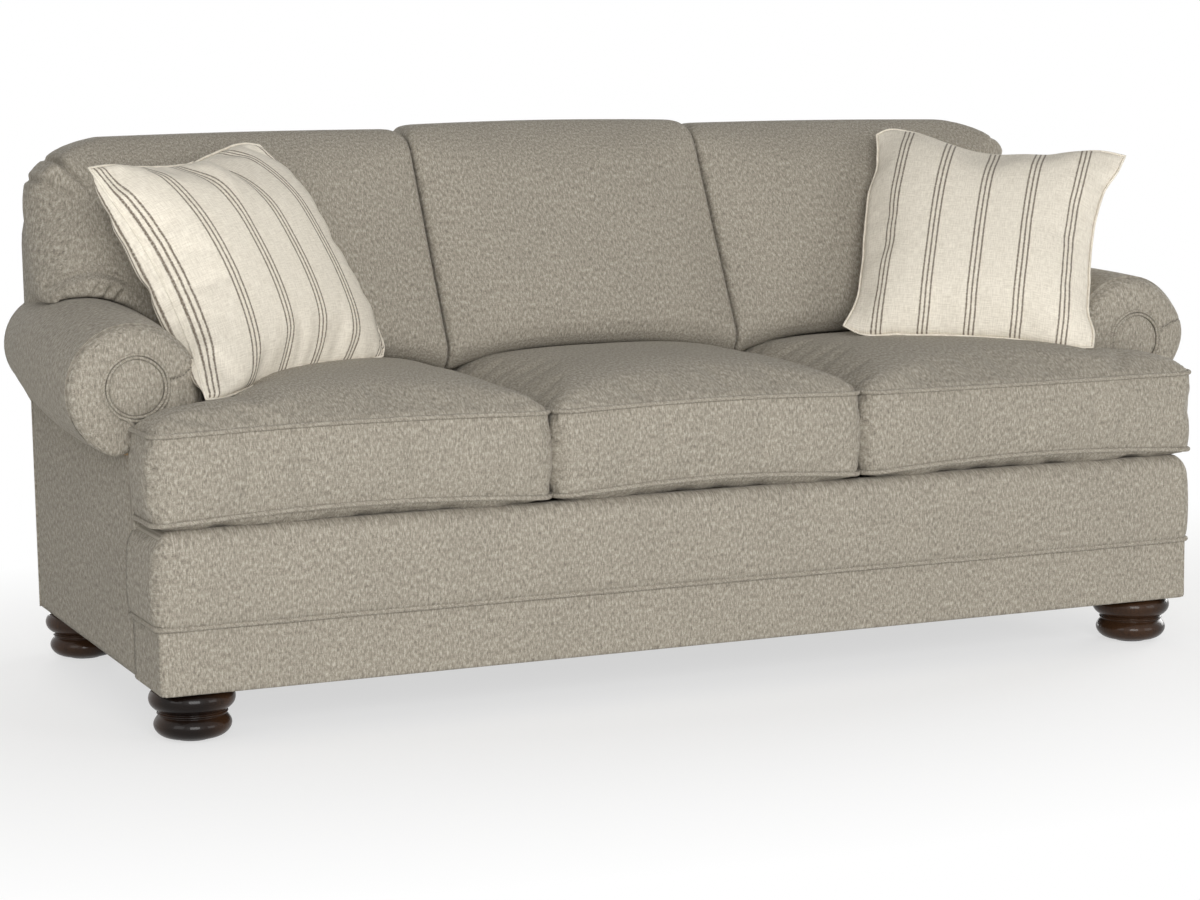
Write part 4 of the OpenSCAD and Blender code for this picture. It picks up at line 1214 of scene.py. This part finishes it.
armSettings = {
    **armRoll,
    "crease": (0.4676, 0.4780),
    "inner": 0.846,
    "low": 0.328,
    "outer": 0.9795,
    "round": 0.030,            # rounding between the length and the front, on the roll and below it
    "wallRound": 0.010,
    "seamDepth": (0.0034, 0.0048),     # groove of the front's seam on that rounding and on the front
    "seamWidth": (0.0026, 0.0028),
    "swellFront": 0.0042,
    "hem": 0.012,              # rounding at the foot of the inner wall
    "hollow": (0.003, 0.30, 0.10),     # in the roll's top: depth, Y and half length
    "pinchSize": (0.0036, 0.22),
    "gatherReach": 0.056,      # how far the folds run out from the button
    "button": 0.0460,
    "pleatDepth": 0.0034,
    # folds in the front: angle, size
    "pleats": {
        "left": ((168, 0.7), (158, 0.5), (137, 0.8), (126, 0.6), (108, 0.4), (82, 0.3), (60, 0.4),
                 (35, 0.3)),
        "right": ((36, 0.8), (28, 0.5), (4, 0.4), (56, 0.4), (84, 0.4), (104, 0.6), (128, 0.4),
                  (150, 0.3)),
    },
    # angle of the front's seam at the button and at the roll
    "seam": {"left": (168.4, 158.2), "right": (17.8, 14.6)},
    "pinch": {"left": -72, "right": -60},      # angle where the cord's end runs down
    "sag": {"left": 0.0, "right": 0.0075},     # the cover hangs fuller on the roll's outer side
    "lift": {"left": 0.009, "right": -0.006},  # the button sits above or below the roll's centre
    "clothAxis": (0.950, 0.575, 0.110),        # X, Z and radius that the cloth is wrapped round
    "buttonRise": 0.0075,
    "rings": (0.0030, 0.0088),                 # cords round the button, from its edge
    "ringRadius": 0.0027,
    "tailRadius": 0.0030,
}


def rollAt(s, y):
    k = min(max((y - s["front"]) / (s["rear"] - s["front"]), 0), 1)
    x, z, r = (a + (b - a) * k for a, b in zip(s["frontRoll"], s["rearRoll"]))
    return x, z, r + s["swell"] * 4 * k * (1 - k), s["crease"][0] + (s["crease"][1] - s["crease"][0]) * k


def armSection(s, y):
    # closed section of the right arm as X, Z, counter-clockwise from the crease under the roll
    x, z, r, crease = rollAt(s, y)
    first = math.radians(20) - math.acos(min(1, (0.98 - x) / r))
    start = np.array((x + r * math.cos(first), z + r * math.sin(first)))
    end = np.array((s["outer"], crease))
    bend = start + np.array((math.sin(first), -math.cos(first))) * np.linalg.norm(end - start) * 0.5
    under = [tuple(end * (1 - t) ** 2 + bend * 2 * t * (1 - t) + start * t * t)
             for t in np.linspace(0, 1, 13)[:-1]]
    roll = arc((x, z), r, math.degrees(first), 180, 210)
    hem, wall = s["hem"], []
    for t in (np.arange(1, 25) / 25):
        down = z + (s["low"] + hem - z) * t
        ease = min(1, (z - down) / 0.075)
        wall.append((x - r + (s["inner"] - x + r) * ease * ease * (3 - 2 * ease), down))
    foot = arc((s["inner"] + hem, s["low"] + hem), hem, 180, 270, 4)
    base = drawn((s["inner"] + hem, s["low"]), (s["outer"] - 0.004, s["low"]), 10)
    back = drawn((s["outer"], s["low"]), (s["outer"], crease - 0.002), 12)
    return np.array(under + roll + wall + foot + base + back), np.array((x, z))


def pleatProfile(angle, pleats):
    # folds round the button, steep on one side, as a height of 0 to -1
    total = np.zeros_like(angle)
    for place, size in pleats:
        away = (angle - math.radians(place) + math.pi) % (2 * math.pi) - math.pi
        gentle, steep = np.exp(-(np.abs(away) / 0.15) ** 1.2), np.exp(-(away / 0.05) ** 2)
        total -= size * np.where(away > 0, gentle, steep)
    return total


def makeArm(s, side):
    rings, seamLine = [], []

    def polar(section, centre):
        away = section - centre
        reach = np.linalg.norm(away, axis=1)
        return reach, away / reach[:, None], np.arctan2(away[:, 1], away[:, 0])

    def sagAt(angle):
        return s["sag"][side] * np.exp(-((angle - 0.05) / 0.42) ** 2)

    depth, place, size = s["hollow"]
    for y in np.linspace(s["rear"], s["front"] + 0.022, 76):
        section, centre = armSection(s, y)
        reach, way, angle = polar(section, centre)
        onRoll = smoothStep(section[:, 1], 0.47, 0.55)
        swell = 0.0014 * np.sin(9 * y + 1.3 * sign[side]) * np.sin(2.2 * angle + 0.7) * onRoll
        crush = -depth * np.exp(-((y - place) / size) ** 2) * np.clip(way[:, 1], 0, 1) ** 2
        crush = crush + sagAt(angle) * (1 - smoothStep(y, -0.20, 0.10))
        p = section + way * (swell + crush)[:, None]
        rings.append(stand(p, y))
    section, centre = armSection(s, s["front"])
    reach, way, angle = polar(section, centre)
    onRoll = smoothStep(section[:, 1], 0.45, 0.50)
    radius = s["wallRound"] + (s["round"] - s["wallRound"]) * onRoll
    fold = pleatProfile(angle, s["pleats"][side])
    seamIn, seamOut = (math.radians(v) for v in s["seam"][side])

    def fromSeam(r):
        at = seamIn + (seamOut - seamIn) * np.clip((r - s["button"] - 0.009) / 0.050, 0, 1)
        return ((angle - at + math.pi) % (2 * math.pi) - math.pi) * r

    sag = sagAt(angle)
    for turn in np.radians(np.linspace(6, 90, 12)):
        r = reach - radius * (1 - math.cos(turn))
        groove = np.exp(-(fromSeam(r) / s["seamWidth"][0]) ** 2)
        p = section - way * (radius * (1 - math.cos(turn)) + 0.0012 * groove - sag)[:, None]
        y = s["front"] + radius * (1 - math.sin(turn)) - s["pleatDepth"] * fold * math.sin(turn) ** 3 * 0.25
        rings.append(stand(p, y + s["seamDepth"][0] * groove * math.sin(turn)))
        if math.sin(turn) > 0.6:
            onSeam = np.argmin(np.abs(fromSeam(r)))
            seamLine.append((sign[side] * p[onSeam, 0], rings[-1][onSeam, 1] - 0.0012, p[onSeam, 1]))
    startRadius = reach - radius + sag
    last = s["button"] + 0.004
    depth, size = s["pinchSize"]
    pinch = depth * np.exp(-((angle - math.radians(s["pinch"][side])) / size) ** 2)
    for k in np.linspace(0.05, 1, 20):
        r = startRadius + (last - startRadius) * k
        p = centre + way * r[:, None] + np.array((0.0, s["lift"][side] * k))
        near = np.clip((s["button"] + s["gatherReach"] - r) / s["gatherReach"], 0, 1) ** 1.3
        bulge = s["swellFront"] * np.sin(math.pi * k) * onRoll
        deep = s["pleatDepth"] * fold * (0.25 * (1 - k) + near) * np.where(onRoll > 0, onRoll, 0.2)
        y = s["front"] - bulge - deep
        y = y + s["seamDepth"][1] * np.exp(-(fromSeam(r) / s["seamWidth"][1]) ** 2)
        y = y + 0.006 * np.clip((k - 0.85) / 0.15, 0, 1)
        y = y + pinch * near ** 2
        rings.append(stand(p, y))
        onSeam = np.argmin(np.abs(fromSeam(r)))
        seamLine.append((sign[side] * p[onSeam, 0], y[onSeam] - 0.0012, p[onSeam, 1]))
    ends = ((s["rearRoll"][0], s["rear"], s["rearRoll"][1]),
            (centre[0], s["front"] + 0.006, centre[1] + s["lift"][side]))
    piece = loftSide("arm", side, rings, ends, True)

    def around(p, n, c):
        axisX, axisZ, radius = s["clothAxis"]
        x = p[:, 0] * sign[side] - axisX
        z = p[:, 2] - axisZ
        turn = np.arctan2(z, x)
        turn = np.where(turn < -1.5, turn + 2 * math.pi, turn)
        front = c[:, 1] < s["front"] + 0.006
        length = np.where((z < 0) & (x <= 0), radius * math.pi - z, turn * radius)
        return np.where(front[:, None], p[:, [0, 2]], np.column_stack((p[:, 1] * 0.6 + 1.7, length)))

    mapCloth(piece, around)
    return piece, seamLine[:-2]


def makeButton(s, side):
    cx, cz = s["frontRoll"][0], s["frontRoll"][1] + s["lift"][side]
    rings = []
    radii = np.concatenate((np.linspace(0.004, s["button"] * 0.86, 14),
                            s["button"] * np.array((0.93, 0.98, 1.0, 1.0))))
    turn = np.linspace(0, 2 * math.pi, 72, endpoint=False)
    rise = s["buttonRise"] * (1 - (radii / s["button"]) ** 2.6)
    rise[-1] = -0.006
    for r, h in zip(radii, rise):
        wave = 0.0003 * np.sin(5 * turn + r * 90) * (r > 0.02)
        rings.append(np.column_stack((cx + r * np.cos(turn), s["front"] - h + wave, cz + r * np.sin(turn))))
    piece = loftSide("armButton", side, rings, [(cx, s["front"] - s["buttonRise"], cz)], False)
    mapCloth(piece, lambda p, n, c: p[:, [0, 2]] + 0.4)
    return piece


def ringPath(x, y, z, radius, seed):
    wobble = 0.0003
    turn = np.linspace(0, 2 * math.pi, 90, endpoint=False)
    rng = np.random.default_rng(seed)
    r = radius + wobble * np.sin(3 * turn + rng.uniform(0, 6))
    r = r + wobble * 0.6 * np.sin(7 * turn + rng.uniform(0, 6))
    return np.column_stack((x + r * np.cos(turn), np.full_like(turn, y), z + r * np.sin(turn)))


cords = []
armSeams = []
upright = (0, 1, 0)
for side in ("left", "right"):
    s = armSettings
    arm, seamLine = makeArm(s, side)
    armSeams.append(seamLine)
    enter(arm, "frame", "tweed", "arm_cover_" + side, "arm_face_" + side, "arm_pads", fill=0.85)
    enter(makeButton(s, side), "frame", "tweed", "arm_button_" + side, fill=0.6)
    x, z = s["frontRoll"][0], s["frontRoll"][1] + s["lift"][side]
    for k, gap in enumerate(s["rings"]):
        path = ringPath(sign[side] * x, s["front"] - 0.0020, z, s["button"] + gap, 40 + k + sign[side])
        cords.append(makeTube(f"weltRing{side}{k}", path, s["ringRadius"], tweed, upright))
    # the outer cord's end runs down from the ring
    turn = math.radians(s["pinch"][side])
    reach = s["button"] + s["rings"][1]
    start = np.array((x + reach * math.cos(turn), s["front"] - 0.0018, z + reach * math.sin(turn)))
    tail = [start + np.array((-0.020, 0.003 * t, -0.021)) * t for t in np.linspace(-0.15, 0.9, 7)]
    tail = np.array(tail) * (sign[side], 1, 1)
    cords.append(makeTube("weltTail" + side, tail, s["tailRadius"], tweed, upright, closed=False))
enter(joinPieces("armWelts", cords), "frame", "tweed", "arm_welts")
print("arms finished")


# base: padded rail, welt and band

baseSettings = {
    "half": 0.980,
    "front": -0.450,
    "returnEnd": -0.282,
    "foot": 0.088,
    "bandTop": 0.202,
    "panelTop": 0.350,
    "panelOut": 0.004,
    "panelForward": 0.008,
    "panelRound": (0.023, 0.044),      # rounding of the panel's top at the front and at the sides
    "weltRadius": 0.0045,
    "weltOut": 0.0060,
    "corner": {"panel": 0.026, "band": 0.006, "welt": 0.016},
    "cloth": {"panel": 0.006, "band": 0.003},
}


def basePath(half, front, radius, end, step):
    # from the left side's seam round the front to the right side's seam, with outward directions
    points, out = [], []

    def straight(ends, way):
        points.extend(ends)
        out.extend([way] * len(ends))

    def corner(side, start):
        for t in np.radians(np.linspace(start, start + 90, 13)):
            way = math.cos(t), math.sin(t)
            points.append((side * (half - radius) + radius * way[0], front + radius + radius * way[1]))
            out.append(way)

    count, wide = max(4, int((end - front) / step)), int(2 * half / step)
    straight([(-half, y) for y in np.linspace(end, front + radius, count)[:-1]], (-1.0, 0.0))
    corner(-1, 180)
    straight([(x, front) for x in np.linspace(-half + radius, half - radius, wide)[1:-1]], (0.0, -1.0))
    corner(1, 270)
    straight([(half, y) for y in np.linspace(front + radius, end, count)[1:]], (1.0, 0.0))
    return np.array(points), np.array(out)


def layCloth(piece, depth):
    # cloth coordinates, and then the cloth's thickness, inwards
    mapCloth(piece, bolt)
    modifier = piece.modifiers.new("thick", "SOLIDIFY")
    modifier.thickness = depth
    modifier.offset = -1
    bake(piece)
    return piece


def sweepUp(name, path, out, profile, depth):
    # profile(k) gives rows of inward distance and height for path point k
    rows = [profile(k) for k in range(len(path))]
    m = len(rows[0])
    points = [[path[k][0] - out[k][0] * d, path[k][1] - out[k][1] * d, z]
              for k in range(len(path)) for d, z in rows[k]]
    faces = [(a + 1, a + m + 1, a + m, a) for k in range(len(path) - 1) for a in range(k * m, k * m + m - 1)]
    return layCloth(makePiece(name, points, faces, tweed), depth)


def makeFrontPanel(s):
    half, front = s["half"] + s["panelOut"], s["front"] - s["panelForward"]
    path, out = basePath(half, front, s["corner"]["panel"], s["returnEnd"] - 0.001, 0.011)
    run = runAlong(path)
    pucker = ripple(run, run[-1], 51, ((0.045, 1.0), (0.08, 1.0), (0.21, 1.0)))
    bottom, top = s["bandTop"] + 0.001, s["panelTop"]

    def profile(k):
        aside = abs(out[k][0])
        low, high = s["panelRound"]
        r = low + (high - low) * aside ** 2
        rows = [(0.012, bottom), (0.0050, bottom + 0.0004), (0.0016, bottom + 0.0024)]
        tall = top - r - bottom
        for t in np.linspace(0.04, 1, 14):
            bulge = 0.0025 * math.sin(math.pi * t) ** 0.7
            soft = 0.0009 * pucker[k] * math.exp(-t * tall / 0.02)
            rows.append((0.002 * math.exp(-t * tall / 0.006) - bulge - soft, bottom + tall * t))
        for turn in np.radians(np.linspace(8, 90, 10)):
            rows.append((r * (1 - math.cos(turn)), top - r + r * math.sin(turn) - 0.0006 * (1 + pucker[k])))
        rows.append((r + 0.02, top - 0.001))
        return rows

    return sweepUp("frontRailPanel", path, out, profile, s["cloth"]["panel"])


def makeBand(s):
    path, out = basePath(s["half"], s["front"], s["corner"]["band"], s["returnEnd"] - 0.001, 0.014)
    run = runAlong(path)
    wave = ripple(run, run[-1], 61, ((0.11, 1.0), (0.23, 1.0), (0.4, 0.8)))

    def profile(k):
        rows = [(0.010, s["foot"] + 0.0004), (0.003, s["foot"] + 0.0002), (0.0008, s["foot"] + 0.001),
                (0.0, s["foot"] + 0.003)]
        seam = s["bandTop"] - 2 * s["weltRadius"]
        for t in np.linspace(0.1, 1, 10):
            inward = -0.0007 * wave[k] * math.sin(math.pi * t)
            rows.append((inward, s["foot"] + (seam - 0.003 - s["foot"]) * t))
        rows += [(0.0006, seam - 0.0012), (0.0030, seam), (0.0070, seam + 0.0004), (0.0085, s["bandTop"])]
        return rows

    return sweepUp("borderBand", path, out, profile, s["cloth"]["band"])


def makeBandWelt(s):
    grow = s["weltOut"]
    corner = s["corner"]["welt"]
    path, _ = basePath(s["half"] + grow, s["front"] - grow, corner, s["returnEnd"] - 0.002, 0.010)
    run = runAlong(path)
    wave = ripple(run, run[-1], 62, ((0.2, 1.0), (0.35, 1.0)))
    z = s["bandTop"] - s["weltRadius"] - 0.0006 + 0.0004 * wave
    return makeTube("bandWelt", np.column_stack((path, z)), s["weltRadius"], tweed, closed=False)


for make, cad in ((makeFrontPanel, "front_panel"), (makeBand, "border_band"), (makeBandWelt, "band_welt")):
    enter(make(baseSettings), "frame", "tweed", cad)
print("base front finished")


# outside arms, outside back, inside back and deck

def pillowedPanel(name, corners, cells, swell, edge, out, seed):
    # four-cornered cloth panel, turned in at its edges. out is the way it faces
    a, b, c, d = (np.array(p, float) for p in corners)
    across, up = cells
    out = np.array(out, float)
    rows = []
    phase = np.random.default_rng(seed).uniform(0, 6.3, 4)
    wide, tall = np.linalg.norm(b - a), np.linalg.norm(d - a)
    for v in np.linspace(0, 1, up + 1):
        for u in np.linspace(0, 1, across + 1):
            p = (a * (1 - u) + b * u) * (1 - v) + (d * (1 - u) + c * u) * v
            toEdge = min(u * wide, (1 - u) * wide, v * tall, (1 - v) * tall)
            lift = swell * (math.sin(math.pi * u) * math.sin(math.pi * v)) ** 0.5
            lift += 0.0006 * math.sin(7 * u + phase[0]) * math.sin(5 * v + phase[1]) * min(1, toEdge / 0.05)
            lift -= edge * math.exp(-toEdge / 0.004)
            rows.append(p + out * lift)
    n = across + 1
    faces = [(i, i + 1, i + n + 1, i + n) for j in range(up) for i in range(j * n, j * n + across)]
    piece = makePiece(name, rows, faces, tweed)
    faceAlong(piece, 0, out)
    return layCloth(piece, 0.006)


outsideArmSettings = {
    "x": 0.980,
    # Y, Z of the corners, from the lower front one
    "corners": ((-0.2815, 0.0885), (0.4395, 0.0885), (0.4395, 0.4785), (-0.2815, 0.4690)),
    "cells": (70, 40),
    "swell": 0.002,
    "edge": 0.0030,
}
for side in ("left", "right"):
    s, way = outsideArmSettings, sign[side]
    piece = pillowedPanel("outsideArm" + side.capitalize(), [(way * s["x"], y, z) for y, z in s["corners"]],
                          s["cells"], s["swell"], s["edge"], (way, 0, 0), 70 + way)
    enter(piece, "frame", "tweed", "outside_arm_" + side)

outsideBackSettings = {
    "half": 0.985,
    "base": 0.980,
    "top": 0.931,
    "round": 0.160,
    "foot": 0.0885,
    "rear": 0.450,
    "leanOut": 0.020,
    "stepZ": 0.648,            # above this the front follows the cushions' rear
    "stepY": 0.4405,
    "behind": 0.014,
    "centre": (0.0, 0.52),
}


def makeOutsideBack(s):
    cx, cz, roll = armSettings["rearRoll"]
    roll -= 0.0005
    half, top, r = s["half"], s["top"], s["round"]
    leave = math.degrees(math.acos((half - cx) / roll))
    above = cz + roll * math.sin(math.radians(leave)) + 0.004
    right = ([(s["base"], h) for h in np.linspace(s["foot"], armSettings["crease"][1], 24)]
             + arc((cx, cz), roll, -40, leave, 30)
             + [(half, h) for h in np.linspace(above, top - r, 10)]
             + arc((half - r, top - r), r, 0, 90, 12)[1:]
             + [(x, top) for x in np.linspace(half - r, 0, 30)[1:]])
    left = [(-x, z) for x, z in right[::-1]][1:]
    bottom = [(x, s["foot"]) for x in np.linspace(-s["base"], s["base"], 60)[1:-1]]
    outline = np.array(right + left + bottom)
    centre = np.array(s["centre"])

    def rearY(z):
        return s["rear"] + s["leanOut"] * (z - s["foot"]) / (s["top"] - s["foot"])

    def frontY(z):
        return np.where(z > s["stepZ"], rearFace(z) + s["behind"], s["stepY"])

    def shrink(k):
        return centre + (outline - centre) * k

    def inset(d):
        return outline - way * d

    way = (outline - centre) / np.linalg.norm(outline - centre, axis=1)[:, None]
    front, rear = frontY(outline[:, 1]), rearY(outline[:, 1])
    rings = [stand(shrink(k), frontY(shrink(k)[:, 1])) for k in (0.3, 0.7, 0.94)]
    rings += [stand(inset(0.004), front), stand(outline, front + 0.004)]
    rings += [stand(outline, front + (rear - front) * k) for k in (0.4, 0.7)]
    rings += [stand(inset(d), rear + out) for d, out in ((0.0008, -0.003), (0.004, -0.0004), (0.010, 0.0002))]
    rings += [stand(shrink(k), rearY(shrink(k)[:, 1]) - 0.0006)
              for k in (0.96, 0.9, 0.8, 0.66, 0.5, 0.34, 0.18)]
    points, faces = loft(rings, *((0, float(face(centre[1])), centre[1]) for face in (frontY, rearY)))
    piece = makePiece("outsideBack", points, faces, tweed)
    faceAlong(piece, -1, (0, 1, 0))
    mapCloth(piece, level)
    return piece


enter(makeOutsideBack(outsideBackSettings), "frame", "tweed", "outside_back")

insideBackSettings = {"half": 0.829, "low": 0.352, "high": 0.920, "cells": (80, 30), "edge": 0.001}


def makeInsideBack(s):
    corners = [(x * s["half"], rearFace(s[z]) + 0.001, s[z])
               for x, z in ((-1, "low"), (1, "low"), (1, "high"), (-1, "high"))]
    return pillowedPanel("insideBack", corners, s["cells"], 0.0, s["edge"], (0, -1, 0.3), 80)


enter(makeInsideBack(insideBackSettings), "frame", "tweed", "inside_back")

deckSettings = {
    "wide": 0.966,
    "narrow": 0.845,
    "front": -0.436,
    "arm": -0.300,
    "rear": 0.180,
    "low": 0.325,
    "top": 0.350,
    "centre": (0.0, -0.40),
}


def makeDeck(s):
    wide, narrow = s["wide"], s["narrow"]
    right = [(wide, s["front"]), (wide, s["arm"]), (narrow, s["arm"]), (narrow, s["rear"])]
    left = [(-x, y) for x, y in right]
    outline = [left[0], *right, *left[:0:-1]]
    path = densify(np.column_stack((outline, [0] * 8)), 0.02)[:, :2]
    centre = np.array(s["centre"])
    away = (path - centre) / np.linalg.norm(path - centre, axis=1)[:, None]
    low, top = s["low"], s["top"]
    levels = [(path - away * inset, z) for inset, z in ((0.003, low), (0, low + 0.003), (0, top - 0.004),
                                                        (0.003, top - 0.0008), (0.008, top))]
    levels += [(centre + (path - centre) * k, top) for k in (0.9, 0.7, 0.45, 0.2)]
    rings = [np.column_stack((p, np.full(len(p), z))) for p, z in levels]
    points, faces = loft(rings, (*centre, low), (*centre, top))
    piece = makePiece("deck", points, faces, decking)
    faceAlong(piece, -1, (0, 0, 1))
    return piece


enter(makeDeck(deckSettings), "frame", "deck_cloth", "deck_cloth", "deck_pad", fill=0.9)
print("panels and deck finished")


# turned feet

footSettings = {
    "x": 0.912,
    "y": 0.376,
    # radius, height
    "profile": ((0, 0.0032), (0.040, 0.0032), (0.048, 0.0048), (0.0555, 0.0085), (0.0618, 0.0150),
                (0.0648, 0.0225), (0.0645, 0.0285), (0.0612, 0.0345), (0.0575, 0.0385),
                (0.0552, 0.0402), (0.0552, 0.0414), (0.0578, 0.0424), (0.0590, 0.0440),
                (0.0580, 0.0456), (0.0556, 0.0464), (0.0560, 0.0476), (0.0600, 0.0500),
                (0.0665, 0.0548), (0.0707, 0.0612), (0.0720, 0.0680), (0.0710, 0.0742),
                (0.0675, 0.0800), (0.0615, 0.0845), (0.0560, 0.0868), (0.0550, 0.0898), (0, 0.0898)),
    "segments": 96,
}


def makeFoot(s, x, y, name):
    profile = s["profile"]
    turn = np.linspace(0, 2 * math.pi, s["segments"], endpoint=False)
    rings = [np.column_stack((x + r * np.cos(turn), y + r * np.sin(turn), np.full_like(turn, z)))
             for r, z in profile[1:-1]]
    points, faces = loft(rings, (x, y, profile[0][1]), (x, y, profile[-1][1]))
    piece = makePiece(name, points, faces, walnut)
    subdivide(piece)
    return piece


for x, side in ((-footSettings["x"], "Left"), (footSettings["x"], "Right")):
    for y, end in ((-footSettings["y"], "Front"), (footSettings["y"], "Back")):
        foot = makeFoot(footSettings, x, y, "foot" + end + side)
        enter(foot, "frame", "walnut", f"foot_{end.lower()}_{side.lower()}")
print("feet finished")


# stitches and staples, repeated along lines with Geometry Nodes

stitchSettings = {
    "spacing": 0.0062,
    "size": (0.0009, 0.0009, 0.0022),
    "loose": 0.10,             # how far each is turned out of line
    "seed": 7,
    "form": ("GeometryNodeMeshUVSphere", {"Segments": 8, "Rings": 6, "Radius": 1.0}),
    "smooth": True,
}
stapleSettings = {
    "spacing": 0.042,
    "size": (0.0005, 0.0006, 0.0050),
    "loose": 0.12,
    "seed": 8,
    "form": ("GeometryNodeMeshCube", {"Size": (2, 2, 2)}),
    "smooth": False,
    "edge": 0.014,             # from the cloth's edge
}

repeatNodes = {
    "start": "NodeGroupInput",
    "points": "GeometryNodeCurveToPoints",
    "least": "ShaderNodeMath",
    "chance": "FunctionNodeRandomValue",
    "turn": "FunctionNodeRotateRotation",
    "place": "GeometryNodeInstanceOnPoints",
    "realize": "GeometryNodeRealizeInstances",
    "smooth": "GeometryNodeSetShadeSmooth",
    "material": "GeometryNodeSetMaterial",
    "end": "NodeGroupOutput",
}
repeatLinks = (
    ("start", "Line", "points", "Curve"),
    ("start", "Spacing", "points", "Length"),
    ("points", "Points", "place", "Points"),
    ("form", "Mesh", "place", "Instance"),
    ("start", "Loose", "least", 1),
    ("least", 0, "chance", 0),
    ("start", "Loose", "chance", 1),
    ("start", "Seed", "chance", "Seed"),
    ("points", "Rotation", "turn", "Rotation"),
    ("chance", 0, "turn", "Rotate By"),
    ("turn", 0, "place", "Rotation"),
    ("start", "Size", "place", "Scale"),
    ("place", "Instances", "realize", "Geometry"),
    ("realize", "Geometry", "smooth", 0),
    ("smooth", 0, "material", "Geometry"),
    ("start", "Material", "material", "Material"),
    ("material", "Geometry", "end", "Repeats"),
)


def repeatAlong(name, paths, s, material):
    line = bpy.data.curves.new(name + "Line", "CURVE")
    line.dimensions = "3D"
    for path in paths:
        spline = line.splines.new("POLY")
        spline.points.add(len(path) - 1)
        spline.points.foreach_set("co", np.column_stack((path, np.ones(len(path)))).ravel())
    holder = bpy.data.objects.new(name + "Line", line)
    scene.collection.objects.link(holder)
    tree = bpy.data.node_groups.new(name + "Repeat", "GeometryNodeTree")
    sockets = {}
    for label, kind in (("Line", "Geometry"), ("Spacing", "Float"), ("Size", "Vector"), ("Loose", "Float"),
                        ("Seed", "Int"), ("Material", "Material"), ("Repeats", "Geometry")):
        way = "OUTPUT" if label == "Repeats" else "INPUT"
        sockets[label] = tree.interface.new_socket(name=label, in_out=way, socket_type="NodeSocket" + kind)
    kind, values = s["form"]
    n = {key: tree.nodes.new(node) for key, node in {**repeatNodes, "form": kind}.items()}
    for key, value in values.items():
        n["form"].inputs[key].default_value = value
    n["points"].mode = "LENGTH"
    n["least"].operation = "SUBTRACT"
    n["least"].inputs[0].default_value = 0
    n["chance"].data_type = "FLOAT_VECTOR"
    n["smooth"].inputs["Shade Smooth"].default_value = s["smooth"]
    for a, out, b, into in repeatLinks:
        tree.links.new(n[a].outputs[out], n[b].inputs[into])
    modifier = holder.modifiers.new("repeat", "NODES")
    modifier.node_group = tree
    for label in ("Spacing", "Size", "Loose", "Seed"):
        modifier[sockets[label].identifier] = s[label.lower()]
    modifier[sockets["Material"].identifier] = material
    graph = bpy.context.evaluated_depsgraph_get()
    mesh = bpy.data.meshes.new_from_object(holder.evaluated_get(graph), depsgraph=graph)
    mesh.name = name
    holder.modifiers.clear()
    bpy.data.objects.remove(holder)
    bpy.data.curves.remove(line)
    piece = bpy.data.objects.new(name, mesh)
    scene.collection.objects.link(piece)
    return piece


thread = makeMoulded("sewingThread", (0.095, 0.082, 0.066), (0.150, 0.132, 0.108), 700)
stitches = repeatAlong("armSeamStitches", armSeams, stitchSettings, thread)
enter(stitches, "frame", "tweed")

low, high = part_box("dust_cover")
edge = stapleSettings["edge"]
left, right, front, rear = low[0] + edge, high[0] - edge, low[1] + edge, high[1] - edge
corners = [(x, y, low[2] - 0.0004) for x, y in ((left, front), (right, front), (right, rear), (left, rear))]
staples = repeatAlong("dustCoverStaples", [corners + corners[:1]], stapleSettings, zincSteel)
enter(staples, "frame", "zinc_steel")
print("stitches and staples:", len(stitches.data.polygons), len(staples.data.polygons))


# stage and light

stageSettings = {
    "floor": (0.90, 0.90, 0.89),
    "worldLight": 0.205,
    "worldTint": (1.0, 0.975, 0.935),
    "floorWhite": 0.62,
    "aim": (0, 0, 0.4),
    # place, size, power
    "lamps": {
        "key": ((-2.1, -8.0, 2.6), 4.0, 456),
        "fill": ((4.0, -6.0, 1.8), 3.0, 85),
        "sideFill": ((-4.6, -2.6, 2.2), 2.5, 42),
        "rear": ((0.8, 7.0, 1.0), 3.5, 300),
        "rightFill": ((5.2, 2.2, 1.6), 2.5, 120),
    },
}


def makeStage(s):
    mesh = bpy.data.meshes.new("floor")
    mesh.from_pydata([(-30, -30, 0), (30, -30, 0), (30, 30, 0), (-30, 30, 0)], [], [(0, 1, 2, 3)])
    floor = bpy.data.objects.new("floor", mesh)
    scene.collection.objects.link(floor)
    n = Nodes("paleFloor")
    n.set(n.shader, {"Base Color": (*s["floor"], 1), "Roughness": 0.9})
    distance = n.add("ShaderNodeVectorMath", operation="LENGTH")
    n.link(n.stretched(n.object(), (0.55, 1, 1)), distance.inputs[0])
    white = n.add("ShaderNodeEmission")
    n.set(white, {"Strength": 1.0})
    far = n.ramp(distance.outputs["Value"], 0.65, 1.5)
    share = n.plus(n.times(far, 1 - s["floorWhite"]), s["floorWhite"])
    n.whiten(n.times(n.seen(), share), white, "Material Output")
    mesh.materials.append(n.owner)
    n = Nodes("studio", "worlds", "Background")
    scene.world = n.owner
    n.set(n.shader, {"Color": (*s["worldTint"], 1), "Strength": s["worldLight"]})
    backdrop = n.add("ShaderNodeBackground")
    n.set(backdrop, {"Color": (1, 1, 1, 1), "Strength": 1.0})
    n.whiten(n.seen(), backdrop, "World Output")
    for name, (place, size, power) in s["lamps"].items():
        data = bpy.data.lights.new(name, "AREA")
        data.size = size
        data.energy = power
        lamp = bpy.data.objects.new(name, data)
        lamp.location = place
        lamp.rotation_euler = (Vector(s["aim"]) - Vector(place)).to_track_quat("-Z", "Y").to_euler()
        scene.collection.objects.link(lamp)


makeStage(stageSettings)
scene.view_settings.view_transform = "Standard"
print("stage and light set")
